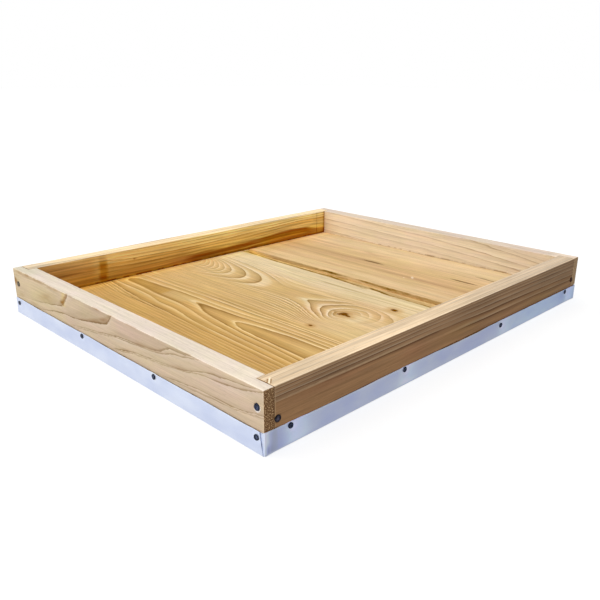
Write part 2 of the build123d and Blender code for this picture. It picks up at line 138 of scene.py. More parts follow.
def wide_rings(u, v, w):
    u = u + 1.6 * rough(u / 55, v / 22, w / 30, 1)
    v = v + 0.55 * rough(u / 36, v / 11, w / 20, 2) + 0.8 * rough(u / 150, v / 60, w / 40, 3)
    K = 15.0
    # the eye round the knot: a wide bow towards the front, one sharp tip towards the rear
    du, dv = u + 94.0, v + 32.0
    rho = np.hypot(du, dv) * (1 + 0.03 * rough(u / 19, v / 11, 0, 4))
    angle = np.degrees(np.arctan2(dv, du))
    rim = curve(angle, [-180, -160, -125, -90, -63, -41, -25, -12, -3, 5.5, 11, 18, 30, 42, 70, 98, 120, 136, 151, 164, 180],
                [57, 54, 44, 33, 31.5, 34.5, 39.5, 46.5, 54, 66, 61, 54.5, 47.5, 43.5, 41, 41, 45, 50, 56, 60, 57])
    mid = curve(angle, [-180, -120, -90, -43, -24, -8, 5, 20, 41, 90, 150, 180], [41, 29, 26, 26, 29.5, 34.4, 36.5, 34.5, 32.5, 34, 44, 41])
    core = curve(angle, [-180, -130, -60, 60, 95, 125, 160, 180], [25, 19.5, 19, 19, 22, 28, 29.5, 25])
    eye = np.where(rho < mid, -2 + (rho - core) / (mid - core), -1 + (rho - mid) / (rim - mid))
    eye = np.where(rho < core, -5.2 + 3.2 * rho / core, eye)
    eye = K + np.where(rho < rim, eye, curve(1 + (rho - rim) / 52, [1, 1.25, 1.8, 3, 6], [0, .40, .72, 1.6, 4]))
    # the nested arches at the rear
    dv = v + 23.5
    dv = np.where(dv > 0, dv * (1 + 0.012 * np.maximum(dv - 28, 0)) / 5.0, dv / 3.9)
    arch = K - curve(u - dv * dv, [-300, -60, 0, 30, 44, 50, 67, 100, 132, 148, 160, 171, 182, 192, 202, 212, 260],
                     [-1.5, -.94, -.8, -.62, -.40, -.24, 0, 1, 2, 3, 3.9, 4.9, 5.9, 6.9, 7.9, 8.9, 14])
    inner = np.minimum(smin(eye, arch, 0.3), K + 0.94)
    # the straighter rings above and below follow the outline of both figures, then flatten
    top = wide_top(u)
    low = curve(u, [-270, -150, -94, -68, -40, -20, 0, 40, 90, 140, 211, 260], [-67, -70, -70, -62, -49, -43, -40, -41, -50, -58, -64, -66])
    up = K + 1 + 8.0 * (v - top) / (62 - top)
    down = K + 1 + 10.0 * (low - v) / (low + 94)
    inner = inner + (K + 0.97 - inner) * step(-6, 0, np.maximum(v - top, low - v)) ** 1.5
    f1 = np.where(v > top, up, np.where(v < low, down, inner))
    # tongues nested one in the other, pointing to the rear
    over = ladder(v, [curve(u, [-270, -150, -100, -80, -60, -40, -29, -24, -10, 10, 60, 260], [-121, -123.5, -124.5, -126.2, -129, -132.6, -135.5, -139, -150, -165, -190, -260]),
                      curve(u, [-270, -100, -60, -40, -20, 0, 25, 45, 60, 66, 72, 90, 120, 260], [-116, -117.5, -118.5, -121, -123.5, -124.5, -125, -126, -128.5, -130, -134, -142, -160, -210]),
                      curve(u, [-270, -100, -60, -20, 0, 25, 60, 100, 120, 140, 160, 190, 200, 206, 260],
                            [-109, -111, -112, -116, -118, -118.8, -118.8, -119.2, -120.2, -121.6, -123, -124.8, -128, -137, -200]),
                      curve(u, [-270, -100, -60, -20, 25, 80, 140, 260], [-102.5, -103.5, -104, -107, -107.4, -109, -112, -114]),
                      curve(u, [-270, -100, 60, 140, 260], [-98.5, -99.7, -100.6, -103, -106]),
                      curve(u, [-270, 60, 140, 260], [-94, -94.5, -96, -98])], 26.0, 4.0)
    under = ladder(-v, [-curve(u, [-270, -156, -140, -100, -60, -40, -29, -24, -10, 10, 60, 260], [-157, -155.5, -155, -152.5, -150, -147, -142.5, -139, -128, -113, -90, -20]),
                        -curve(u, [-270, -156, -120, -100, -60, -20, 10, 30, 45, 62, 66, 72, 90, 120, 260],
                               [-168, -163, -159.5, -158, -156, -152, -148, -143, -137, -131.5, -130, -126, -118, -100, -40]),
                        -curve(u, [-270, -156, -100, -60, -40, 0, 25, 40, 60, 80, 110, 140, 160, 180, 198, 206, 260],
                               [-177, -171.5, -168, -165.5, -163.5, -159.5, -155, -151.5, -149, -147, -147.5, -146.5, -144.5, -143.5, -143, -137, -90]),
                        -curve(u, [-270, -156, -100, -60, -20, 25, 40, 60, 75, 90, 105, 120, 140, 190, 260],
                               [-186, -180, -177, -175.5, -173, -169, -166, -163.2, -162.5, -162.5, -160, -157, -155.5, -154, -152]),
                        -curve(u, [-270, -156, -60, 0, 60, 100, 150, 190, 260], [-191, -186, -183, -180, -176, -174.5, -170, -164, -157])], 26.0, 4.6)
    f2 = -smin(-over, -under, 0.12)
    return smin(f1, f2 + K + 5.0, 1.0) + 0.03 * w


def narrow_rings(u, v, w):
    v = v + 0.7 * rough(u / 50, v / 10, w / 20, 11) + 2.5 * rough(u / 190, v / 50, w / 40, 12) - 0.012 * u
    return curve(v, [60, 85, 100, 113, 122, 146, 158, 168, 180, 200, 232, 262, 300],
                 [0, 4.0, 5.6, 6.6, 7.0, 8.0, 9.4, 11, 13, 17, 22, 28, 36]) + 0.05 * w


# ring lines along each rail's best seen face: stations and heights, then stations and strengths
LEFT_LINES = [
    ((-270, -232, -200, -180, -160, -150, -140, -130, -120, -110, -105, -100, -97, -94, -91, -88, -80, -60, 0, 270),
     (19, 22.5, 25.5, 27.5, 30.5, 32, 33, 34.5, 36.5, 38.5, 40, 42.5, 45, 49, 53, 57, 66, 90, 160, 420),
     (-270, -170, -150, -130, -108, -98, 270), (.15, .25, .45, .75, .62, .26, .26)),
    ((-270, -232, -190, -160, -140, -125, -110, -100, -80, -70, -60, -50, -40, -30, -20, -10, -4, 0, 3, 6, 15, 40, 100, 270),
     (8, 13, 18.5, 21.5, 25, 28, 30, 31, 32.5, 33.5, 35, 36.5, 38.5, 40.3, 42, 44, 46.2, 49.5, 53, 57.5, 68, 95, 160, 340),
     (-270, -165, -125, -100, 270), (.1, .3, .8, 1, 1)),
    ((-270, -150, -100, -60, -40, -20, 0, 10, 30, 50, 70, 80, 90, 100, 108, 118, 125, 135, 150, 170, 270),
     (.9, 12.9, 20.4, 25.9, 28.9, 31.9, 35.4, 36.9, 38.9, 40.7, 42, 43.2, 45.4, 49.5, 52.4, 53.2, 53.7, 55, 57.4, 62, 87),
     (-270, -100, -60, -30, 0, 60, 100, 110, 150, 270), (.1, .2, .4, .7, .85, .7, .85, .9, .8, .3)),
    ((-270, -150, -100, -60, -40, -20, 0, 10, 30, 50, 70, 80, 90, 100, 110, 117, 124, 132, 150, 170, 270),
     (0, 12, 19.5, 25, 28, 31, 34.5, 36, 38, 39.8, 41, 42, 43.6, 46, 48.8, 50.2, 50.9, 53, 56.6, 61, 86),
     (-270, -100, -60, -30, 0, 60, 100, 120, 150, 270), (.1, .2, .35, .6, .8, .6, .8, 1, .5, .3)),
    ((-270, -100, -20, 15, 25, 35, 45, 60, 80, 100, 115, 130, 140, 150, 160, 168, 180, 195, 205, 215, 225, 270),
     (-7, 11, 19.4, 23.9, 25.9, 27.9, 29.9, 31.4, 33.4, 35.4, 37.4, 39.6, 42, 44.8, 47.6, 48.8, 50, 52.4, 53.6, 54.6, 56.5, 69),
     (-270, 0, 15, 40, 60, 100, 130, 165, 205, 225, 270), (.2, .3, .85, .75, .85, .8, 1, .9, .8, .3, .2)),
    ((-270, -100, -20, 15, 25, 35, 45, 60, 80, 100, 115, 130, 140, 155, 170, 185, 200, 210, 220, 230, 270),
     (-8, 10, 18.5, 23, 25, 27, 29, 30.5, 32.5, 34.5, 36.5, 38.7, 41, 43.5, 45, 46.5, 48.5, 50.2, 52.6, 55.5, 66),
     (-270, 0, 15, 40, 60, 100, 130, 170, 200, 230, 270), (.2, .3, .7, .6, .8, .7, 1, 1, .9, .6, .5)),
    ((-270, 0, 90, 115, 125, 135, 147, 158, 170, 190, 232, 270), (-19, 9, 21.6, 24.1, 25.1, 26.1, 27.5, 27.9, 28.2, 28.6, 34.6, 39),
     (-270, 90, 115, 147, 160, 190, 232, 270), (.2, .3, .75, .65, .65, .85, .7, .6)),
    ((-270, 0, 90, 115, 135, 155, 165, 180, 190, 200, 210, 220, 232, 270), (-20, 8, 20.5, 22.8, 24.2, 25.5, 26.5, 27.2, 27.6, 28.6, 30, 32, 33.6, 38),
     (-270, 90, 140, 190, 232, 270), (.2, .3, .6, .85, .7, .7)),
    ((-270, 0, 150, 200, 232, 270), (-34, -6, 12, 18, 21.5, 26), (-270, 270), (.4, .4))]
RIGHT_LINES = [
    ((-270, -210, -180, -160, -140, -120, -60, 0, 100, 270), (27, 25.5, 24.4, 23.5, 22.4, 21, 18, 15, 8, -6), (-270, -120, 270), (.8, .6, .3)),
    ((-270, -205, -150, -120, -90, -50, 0, 20, 60, 100, 150, 270), (38.5, 37, 35, 34, 33, 31.5, 30.2, 28.7, 26.5, 24, 20, 10),
     (-270, -205, -150, -90, 0, 100, 270), (.5, .5, .55, .5, .4, .2, .2)),
    ((-270, -205, -160, -120, -80, -40, 0, 40, 75, 100, 120, 150, 180, 270), (46, 45, 44, 42.8, 41.4, 40.5, 38.9, 37, 35.3, 33.3, 31.6, 29.4, 27, 20),
     (-270, -205, -100, 0, 60, 150, 270), (.9, .9, .65, .6, .6, .8, .7)),
    ((-270, -170, -130, -90, -50, 0, 40, 80, 100, 120, 150, 180, 270), (60, 56.5, 55, 53.5, 51.3, 49.5, 47, 44.4, 43, 41.1, 38.5, 35.5, 28),
     (-270, -170, -130, -90, 0, 60, 100, 150, 180, 270), (.6, .7, .75, .7, .65, .65, .9, 1, .7, .5)),
    ((-270, 0, 60, 85, 100, 120, 150, 180, 192, 270), (75, 64, 61, 58, 56, 53, 49.4, 45.2, 43.5, 36), (-270, 60, 85, 110, 192, 270), (.3, .6, .9, 1, 1, .8)),
    ((-270, 60, 130, 145, 165, 180, 270), (90, 70, 58, 55, 52, 50.4, 43), (-270, 270), (.35, .35))]
FRONT_LINES = [
    ((-282, -140, -40, 0, 50, 95, 150, 200, 282), (34.8, 34.3, 33.2, 32.6, 32, 31.8, 31.5, 30.6, 29), (-282, -40, 0, 30, 200, 282), (.10, .12, .5, .85, .75, .45)),
    ((-282, -200, -150, -100, -60, -20, 0, 20, 50, 95, 150, 220, 282), (43.4, 42.9, 42.4, 42.1, 42, 41.3, 41, 40.2, 39.3, 39, 38, 36.6, 35.3),
     (-282, -240, -170, -140, -50, -40, 0, 20, 100, 150, 282), (.25, .35, .6, .85, .8, .5, .65, .95, .95, .8, .65)),
    ((-282, -150, -80, 0, 40, 95, 282), (48.3, 47.6, 47, 46.3, 45.6, 45.2, 43.4), (-282, -60, -30, 10, 110, 160, 282), (.8, .8, .55, .7, .7, .4, .4)),
    ((-282, -150, 0, 95, 140, 200, 240, 282), (51.8, 51.6, 51.2, 50.9, 50.2, 49.4, 48.6, 48), (-282, -100, 0, 20, 200, 282), (.75, .75, .6, .85, .8, .7)),
    ((-282, 0, 282), (54.8, 54.5, 52.6), (-282, -60, 282), (.8, .7, .6))]
REAR_LINES = [
    ((-270, -176, -100, -40, 0, 60, 120, 170, 200, 225, 270), (36, 33.5, 31.5, 32.5, 33, 33.5, 35.3, 37.2, 36.8, 34.5, 29), (-270, -100, 40, 270), (.35, .35, .14, .10)),
    ((-270, -176, -100, -40, 0, 60, 120, 170, 200, 270), (42, 39.5, 36.5, 36.3, 36.6, 37.2, 39, 41, 41.2, 37), (-270, -180, -160, 270), (.3, .3, .6, .6)),
    ((-270, -176, -100, -40, 0, 60, 120, 170, 200, 270), (47.5, 45, 41, 40.3, 40.6, 41.2, 43, 45, 45.5, 43), (-270, -180, -160, 270), (.3, .3, .55, .55)),
    ((-270, -176, -120, -90, -40, 0, 60, 120, 170, 200, 270), (53, 50, 45.5, 44.5, 43.8, 44.3, 46, 48, 49.4, 50, 49), (-270, -180, -160, 270), (.3, .3, .9, .9)),
    ((-270, -176, -100, -40, 0, 60, 120, 200, 270), (58, 54, 49.5, 48.5, 49, 50.5, 52, 53.5, 53.5), (-270, -180, -160, 270), (.3, .3, .5, .5)),
    ((-270, -176, -100, -40, 0, 120, 270), (63, 58, 53.5, 52.7, 53, 55.5, 57), (-270, 270), (.45, .45))]


def track(line, u):
    """A ring line's height along its board."""
    return curve(u, line[0], line[1])


def strengths(lines, u, v, beyond, side):
    """How dark the ring lines are drawn; each line's strength holds as far as the next line."""
    c = np.full(np.shape(u), float(beyond))
    for line in reversed(lines):
        c = c + (curve(u, line[2], line[3]) - c) * step(-0.7, 0.7, side * (v - track(line, u)))
    return c


def left_rings(u, v, w):
    u = u + 2.6 * rough(u / 40, v / 3.4, w / 10, 20) * bump(-98, 18, u)
    v = v + 0.4 * rough(u / 28, v / 7, w / 12, 21) + 0.4 * rough(u / 110, v / 30, w / 30, 22) - 0.7 * w
    return 6 + ladder(-v, [-track(line, u) for line in LEFT_LINES], 26.0, 10.0)


def right_rings(u, v, w):
    v = v + 0.35 * rough(u / 50, v / 8, w / 12, 31) + 0.5 * rough(u / 160, v / 40, w / 30, 32) + 0.5 * w
    return 8 + ladder(v, [track(line, u) for line in RIGHT_LINES], 10.0, 9.0)


def front_rings(u, v, w):
    v = v + 0.15 * rough(u / 90, v / 7, w / 12, 41) + 0.3 * rough(u / 220, v / 40, w / 30, 42) + 0.45 * w
    return ladder(v, [track(line, u) for line in FRONT_LINES], 9.0, 3.0)


def rear_rings(u, v, w):
    v = v + 0.35 * rough(u / 60, v / 6, w / 12, 51) + 0.4 * rough(u / 190, v / 40, w / 30, 52) + 0.4 * w
    return ladder(v, [track(line, u) for line in REAR_LINES], 6.0, 3.0)


# ------------------------------------------------------------------ board meshes
EASE = (0.45, 1.0, 1.8, 3.0)


def grid(a, b, pitch, keep=(), fine=()):
    """Grid positions from a to b, close together beside the ends, the kept positions and the fine spots."""
    hard = sorted([a, b] + list(keep))
    out = list(hard)

    def add(p, gap):
        if a < p < b and min(abs(p - q) for q in out) >= gap:
            out.append(p)

    for s in hard:
        for d in EASE:
            add(s - d, 0.3)
            add(s + d, 0.3)
    for centre, half, p in fine:
        for k in range(int(round(2 * half / p)) + 1):
            add(centre - half + k * p, 0.6 * p)
    n = max(1, int(round((b - a) / pitch)))
    for k in range(1, n):
        add(a + (b - a) * k / n, 0.55 * pitch)
    return np.array(sorted(out))


def shell(X, Y, Z, solid):
    """Outside of a block of cells: points, quads facing out, and each quad's axis."""
    ny, nz = len(Y), len(Z)
    pad = np.pad(solid, 1)
    quads, axes = [], []

    def ident(i, j, k):
        return (i * ny + j) * nz + k

    lo, hi = pad[:-1, 1:-1, 1:-1], pad[1:, 1:-1, 1:-1]
    for mask, flip in ((lo & ~hi, False), (~lo & hi, True)):
        i, j, k = np.nonzero(mask)
        q = np.stack([ident(i, j, k), ident(i, j + 1, k), ident(i, j + 1, k + 1), ident(i, j, k + 1)], 1)
        quads.append(q[:, ::-1] if flip else q)
        axes.append(np.zeros(len(q), int))
    lo, hi = pad[1:-1, :-1, 1:-1], pad[1:-1, 1:, 1:-1]
    for mask, flip in ((lo & ~hi, False), (~lo & hi, True)):
        i, j, k = np.nonzero(mask)
        q = np.stack([ident(i, j, k), ident(i, j, k + 1), ident(i + 1, j, k + 1), ident(i + 1, j, k)], 1)
        quads.append(q[:, ::-1] if flip else q)
        axes.append(np.ones(len(q), int))
    lo, hi = pad[1:-1, 1:-1, :-1], pad[1:-1, 1:-1, 1:]
    for mask, flip in ((lo & ~hi, False), (~lo & hi, True)):
        i, j, k = np.nonzero(mask)
        q = np.stack([ident(i, j, k), ident(i + 1, j, k), ident(i + 1, j + 1, k), ident(i, j + 1, k)], 1)
        quads.append(q[:, ::-1] if flip else q)
        axes.append(np.full(len(q), 2))
    quads, axes = np.concatenate(quads), np.concatenate(axes)
    used, inverse = np.unique(quads, return_inverse=True)
    i, rest = np.divmod(used, ny * nz)
    j, k = np.divmod(rest, nz)
    return np.stack([X[i], Y[j], Z[k]], 1), inverse.reshape(-1, 4), axes


def point_normals(P, quads):
    a, b, c, d = [P[quads[:, i]] for i in range(4)]
    n = np.cross(c - a, d - b)
    out = np.zeros_like(P)
    for i in range(4):
        for j in range(3):
            out[:, j] += np.bincount(quads[:, i], n[:, j], len(P))
    return out / np.maximum(np.linalg.norm(out, axis=1, keepdims=True), 1e-12)


def crease_distance(P, quads, axes):
    """Distance of every point from the nearest edge between two faces of the board."""
    flags = np.zeros((len(P), 3), bool)
    for a in range(3):
        flags[np.unique(quads[axes == a]), a] = True
    edge = np.nonzero(flags.sum(1) > 1)[0]
    tree = KDTree(len(edge))
    for i in edge:
        tree.insert(P[i], int(i))
    tree.balance()
    return np.array([tree.find(p)[2] for p in P]), flags


def soften(P, quads, weight, rounds):
    edges = np.unique(np.sort(np.concatenate([quads[:, [0, 1]], quads[:, [1, 2]], quads[:, [2, 3]], quads[:, [3, 0]]]), axis=1), axis=0)
    a, b = edges[:, 0], edges[:, 1]
    count = np.bincount(a, minlength=len(P)) + np.bincount(b, minlength=len(P))
    P = P.copy()
    for _ in range(rounds):
        total = np.stack([np.bincount(a, P[b, j], len(P)) + np.bincount(b, P[a, j], len(P)) for j in range(3)], 1)
        P += 0.5 * weight[:, None] * (total / count[:, None] - P)
    return P


def mesh_object(name, P, quads, smooth=True):
    mesh = bpy.data.meshes.new(name)
    n, m = len(P), len(quads)
    mesh.vertices.add(n)
    mesh.vertices.foreach_set("co", (P * 0.001).astype(np.float32).ravel())
    mesh.loops.add(m * 4)
    mesh.loops.foreach_set("vertex_index", quads.astype(np.int32).ravel())
    mesh.polygons.add(m)
    mesh.polygons.foreach_set("loop_start", np.arange(0, m * 4, 4, dtype=np.int32))
    mesh.update(calc_edges=True)
    mesh.validate()
    if smooth:
        mesh.polygons.foreach_set("use_smooth", np.ones(m, bool))
    obj = bpy.data.objects.new(name, mesh)
    bpy.context.scene.collection.objects.link(obj)
    return obj


def put(obj, name, values):
    values = np.asarray(values, np.float32)
    if values.ndim == 1:
        obj.data.attributes.new(name, "FLOAT", "POINT").data.foreach_set("value", values)
    else:
        obj.data.attributes.new(name, "FLOAT_VECTOR", "POINT").data.foreach_set("vector", values.ravel())


def seat(P, N, centre, axis, radius, depth):
    """The seat that a driven nail head leaves in a board, with crushed fibres round it."""
    other = [i for i in range(3) if i != axis]
    r = np.hypot(P[:, other[0]] - centre[other[0]], P[:, other[1]] - centre[other[1]])
    near = (np.abs(P[:, axis] - centre[axis]) < 0.8) & (r < radius * 2.2)
    sink = depth * step(radius * 1.14, radius * 0.98, r) + 0.16 * step(radius * 2.0, radius * 1.1, r)
    P[near] -= N[near] * sink[near, None]


def checks_field(u, v, lines):
    """Signed distance from the nearest drying check and its half width there; lines are (v, slope, u0, u1, half)."""
    lines = sorted(lines)
    dist = np.full(len(u), 50.0)
    half = np.zeros(len(u))
    below = np.zeros(len(u), int)
    for v0, slope, u0, u1, width in lines:
        s = v - (v0 + slope * (u - 0.5 * (u0 + u1)) + 0.5 * rough(u / 9, 0.0, 0.0, int(abs(v0) * 7) % 91, 2))
        nearer = np.abs(s) < np.abs(dist)
        dist = np.where(nearer, s, dist)
        half = np.where(nearer, width * np.clip((u - u0) / (0.3 * (u1 - u0)), 0, 1) * np.clip((u1 - u) / (0.3 * (u1 - u0)), 0, 1), half)
        below += s > 0
    return np.abs(dist) * np.where(below % 2 == 0, 1.0, -1.0), half


def blob(u, v, cu, cv, ru, rv, turn=0.0):
    """Distance from a round mark, 0 at its middle and 1 at its edge."""
    c, s = math.cos(turn), math.sin(turn)
    a, b = (u - cu) * c + (v - cv) * s, -(u - cu) * s + (v - cv) * c
    return np.sqrt((a / ru) ** 2 + (b / rv) ** 2)


def board(name, node, X, Y, Z, solid, look, material, warp=None, seats=(), wear=0.5, seed=0):
    P, quads, axes = shell(X, Y, Z, solid)
    dist, flags = crease_distance(P, quads, axes)
    if warp is not None:
        P = warp(P)
    flat = P.copy()
    weight = step(3.2, 0.9, dist)
    P = soften(P, quads, weight, 4)
    N = point_normals(P, quads)
    # worn and chipped arrises
    x, y, z = flat.T
    chips = step(0.30, 0.75, rough(x / 9, y / 9, z / 9, seed + 5)) * step(-0.2, 0.4, rough(x / 60, y / 60, z / 60, seed + 6))
    worn = 0.18 * (rough(x / 14, y / 14, z / 14, seed + 7) * 0.5 + 0.5) + 0.9 * chips
    P -= N * (wear * worn * step(2.2, 0.0, dist))[:, None]
    # saw and planer unevenness of the faces
    P += N * (0.05 * rough(x / 40, y / 40, z / 40, seed + 8) * step(1.0, 4.0, dist))[:, None]
    for centre, axis, radius, depth in seats:
        seat(P, N, centre, axis, radius, depth)
    obj = mesh_object(name, P, quads)
    data = look(flat, flags, dist)
    for key in ("ring", "slope", "pitch", "grain", "tint", "marks", "misc"):
        put(obj, key, data[key])
    obj.data.materials.append(material)
    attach(obj, "root")
    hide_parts(node)
    return obj


def vec(a, b, c, n):
    return np.stack([np.broadcast_to(np.asarray(t, float), (n,)) for t in (a, b, c)], 1)


def faces(P, axis, outer, t_out, t_top, t_in):
    """Colour multipliers of a rim board: outer face, top, inner face; each face gets its own, which partly paints the
    light falling on it.
    """
    top = step(56.9, 57.45, P[:, 2])
    out = step(0.9, 0.1, np.abs(P[:, axis] - outer)) * (1 - top)
    return top[:, None] * np.array(t_top) + out[:, None] * np.array(t_out) + (1 - top - out)[:, None] * np.array(t_in)


def hue(light, warm):
    """Colour multipliers from a brightness and a warmth."""
    return np.stack([light, light * (1 - 0.22 * warm), light * (1 - 0.60 * warm)], 1)


def pack(rings, u, v, w, shift, tint, knot, checks, end, contrast, stain_and_shade):
    n = len(u)
    ring = rings(u, v, w)
    slope = np.clip(np.abs(rings(u, v + 0.6, w) - rings(u, v - 0.6, w)) / 1.2, 0.0, 1.2)
    pitch = np.hypot(slope, np.clip(np.abs(rings(u + 0.8, v, w) - rings(u - 0.8, v, w)) / 1.6, 0.0, 1.2))
    d, h = checks_field(u, v, checks) if checks else (np.full(n, 50.0), np.zeros(n))
    return dict(ring=ring, slope=slope, pitch=np.maximum(pitch, 0.02), grain=np.stack([u + shift, v, w], 1), tint=tint,
                marks=vec(knot, d, h, n), misc=vec(end, contrast, np.clip(stain_and_shade, 0, 1), n))


# ------------------------------------------------------------------ looks, point by point
# Colour multipliers per rail for outer face, top and inner face, tuned under this scene's light; they partly paint
# light and shade, and the front rail's dark outer face is painted shade.
TINT = {
    "left": ((0.78, 0.76, 0.74), (1.10, 1.20, 1.44), (0.95, 0.95, 0.92)),
    "right": ((0.95, 0.95, 0.95), (1.07, 1.14, 1.36), (1.10, 1.19, 1.30)),
    "front": ((0.52, 0.40, 0.315), (1.15, 1.17, 1.18), (0.95, 0.93, 0.88)),
    "rear": ((0.9, 0.90, 1.05), (1.19, 1.35, 2.05), (1.17, 1.22, 1.14)),
}


def look_left(P, flags, dist):
    x, y, z = P.T
    u, v, w = -y, z, x + HX
    top = step(56.9, 57.45, z)
    outer = step(1.2, 0.3, w)
    rosy = rough(u / 22, v / 9, w / 9, 63)
    tint = faces(P, 0, -HX, *TINT["left"]) * (1 + 0.04 * rough(u / 60, v / 20, w / 20, 61))[:, None]
    rosy = rosy + 0.9 * bump(35, 60, u) * bump(50, 12, v) + 0.8 * bump(190, 50, u) * bump(42, 16, v) - 0.9 * bump(-160, 60, u) * bump(38, 18, v) - 0.5 * bump(-60, 50, u) * bump(46, 12, v)
    # the outer face gets a painted highlight along its front corner edge; the top is paler near its front end
    tint = tint * np.stack([1.02 + 0.012 * rosy, 1.035 - 0.018 * rosy, 1.04 + 0.06 * rosy], 1) * (1 + 0.14 * outer * (1 - top) * step(229.9, 231.6, u) + 0.06 * top * step(185, 205, u))[:, None]
    old, face = top * step(-165, -205, u), (1 - top) * outer
    tint = tint * np.stack([1 - 0.12 * old + 0.03 * face, 1 - 0.09 * old + 0.03 * face + 0.012 * face * step(-90, -130, u), 1 - 0.14 * old + face * (0.065 - 0.075 * step(-70, -150, u))], 1)
    # a ragged golden mark at the first ring tip
    mark = outer * (1 - top) * bump(-99.5, 8.0, u - 0.25 * (v - 46) + 4.0 * rough(0, v / 3.2, 0, 47)) * step(38, 43, v)
    tint = tint * np.stack([1 + 0.07 * mark, 1 + 0.04 * mark, 1 - 0.24 * mark], 1)
    corner = blob(u, v, -229.0, 42.0, 4.6, 3.6, 0.0)
    # golden brown wood inside the ring tips and along some of the lines
    over = [v - track(LEFT_LINES[i], u) for i in (0, 1, 3, 5)]
    over[0] = over[0] + 2.2 * rough(u / 5, v / 4, 0, 60)
    deep = curve(u, [-90, -60, -30, -10, 6], [1.2, 2.5, 5, 7.5, 8.5])
    gold = (0.92 + 0.5 * rough(u / 7, v / 3, 0, 57)) * step(-116, -101, u) * step(-0.5, 1.5, over[0]) * step(9, 3, over[0])
    gold = gold + 0.60 * step(-85, -45, u) * step(-0.5, 1.0, over[1]) * step(1.3, 0.6, over[1] / deep)
    gold = gold + 0.30 * step(40, 55, u) * step(105, 85, u) * step(-0.5, 1.0, over[2]) * step(7, 2, over[2])
    gold = gold + (0.35 * bump(28, 18, u) + 0.28 * bump(122, 26, u)) * step(-0.5, 1.0, over[3]) * step(6, 2, over[3])
    wash = (0.34 + 0.3 * rough(u / 16, v / 4, 0, 56)) * bump(-142, 40, u) * bump(40, 10, v - 0.16 * (u + 142)) + 0.22 * bump(-213, 12, u) * bump(27, 4, v) + 0.20 * bump(-180, 16, u) * bump(24, 4, v)
    # worn: a darker band a little below the top arris, which is painted shade under the arris, and darker spots along
    # the arris itself
    worn = 0.58 * step(52.8, 55.4, v) * step(-95, -125, u) * step(-226, -214, u) * np.clip(0.6 + 0.9 * rough(u / 12, v / 3, 0, 59), 0, 1) + step(55.4, 57.0, v) * (0.30 * step(0.15, 0.6, rough(u / 9, 0, 0, 64) + 0.25 * bump(20, 90, u)) + 0.4 * bump(-22, 9, u))
    stain_and_shade = (0.85 * step(1.9, 0.5, corner) + gold * np.clip(0.9 + 0.5 * rough(u / 14, v / 5, 0, 65), 0.3, 1.2) + wash + worn) * outer
    # a pale crescent on one side of the front corner nail: a painted highlight on the rim of its seat
    ring = np.hypot(u - 223.5, v - 40.6)
    nail_highlight = np.abs(ring - 3.7) / 0.75 + 3 * step(-0.2, 0.5, np.sin(np.arctan2(v - 40.6, u - 223.5) - 0.6)) + 9 * step(0.8, 1.6, w)
    joint = step(0.8, 0.2, np.minimum(np.abs(x + TONGUE_X) + 60 * (np.abs(y) < IN_Y - 0.3), np.abs(np.abs(y) - IN_Y) + 60 * (x < -TONGUE_X - 0.3))) * (1 - 0.7 * top * step(221, 224, np.abs(y)))
    end = np.where(np.abs(y) > HY - 0.2, np.where(y < 0, 1.0, 0.6), 0.0)
    contrast = np.clip(1.25 * strengths(LEFT_LINES, u, v - 0.7 * w, 0.3, 1), 0, 1) * (1 - 0.36 * step(10, 80, u)) * (1 - 0.94 * top) * np.clip(0.95 + 0.35 * rough(u / 30, v / 7, w / 9, 62), 0.4, 1.15)
    return pack(left_rings, u, v, w, 0.0, tint, nail_highlight, [], end, contrast, stain_and_shade + 0.45 * joint * np.clip(0.5 + 1.2 * rough(u / 4, v / 4, w / 4, 58), 0, 1))


def look_right(P, flags, dist):
    x, y, z = P.T
    u, v, w = -y, z, x - IN_X
    top = step(56.9, 57.45, z)
    rosy = rough(u / 26, v / 8, w / 9, 68)
    # the inner face is brighter towards the rear end and darker towards the front: painted light and shade
    tint = faces(P, 0, HX, *TINT["right"]) * (1 - 0.11 * np.clip(u / 150, -1.2, 1) * (1 - top) + 0.04 * rough(u / 60, v / 20, w / 20, 66))[:, None]
    tint = tint * np.stack([0.98 + 0.014 * rosy, 0.975 - 0.014 * rosy, 1.0 + 0.045 * rosy], 1) * (1 + 0.20 * top * step(196, 214, u))[:, None]
    end = np.where(np.abs(y) > HY - 0.2, 1.0, 0.0)
    # dark dashes along the foot of the inner face: painted shadow in the gap between the rail and the planks
    gap_shade = 0.15 + 0.30 * step(-110, -90, u) + 0.25 * bump(18, 22, u) + 0.25 * bump(136, 24, u)
    stain_and_shade = step(1.2, 0.6, w) * step(21.9, 20.4, z) * step(0.0, 0.4, rough(u / 6, 0, 0, 67) + 0.5 * bump(18, 22, u) + 0.6 * bump(136, 24, u)) * gap_shade
    contrast = 0.86 * strengths(RIGHT_LINES, u, v + 0.5 * w, 0.35, -1) * (1 - 0.6 * top) * np.clip(0.95 + 0.4 * rough(u / 40, v / 7, w / 9, 69), 0.4, 1.15)
    return pack(right_rings, u, v, w, 700.0, tint, 9.0, [], end, contrast, stain_and_shade)


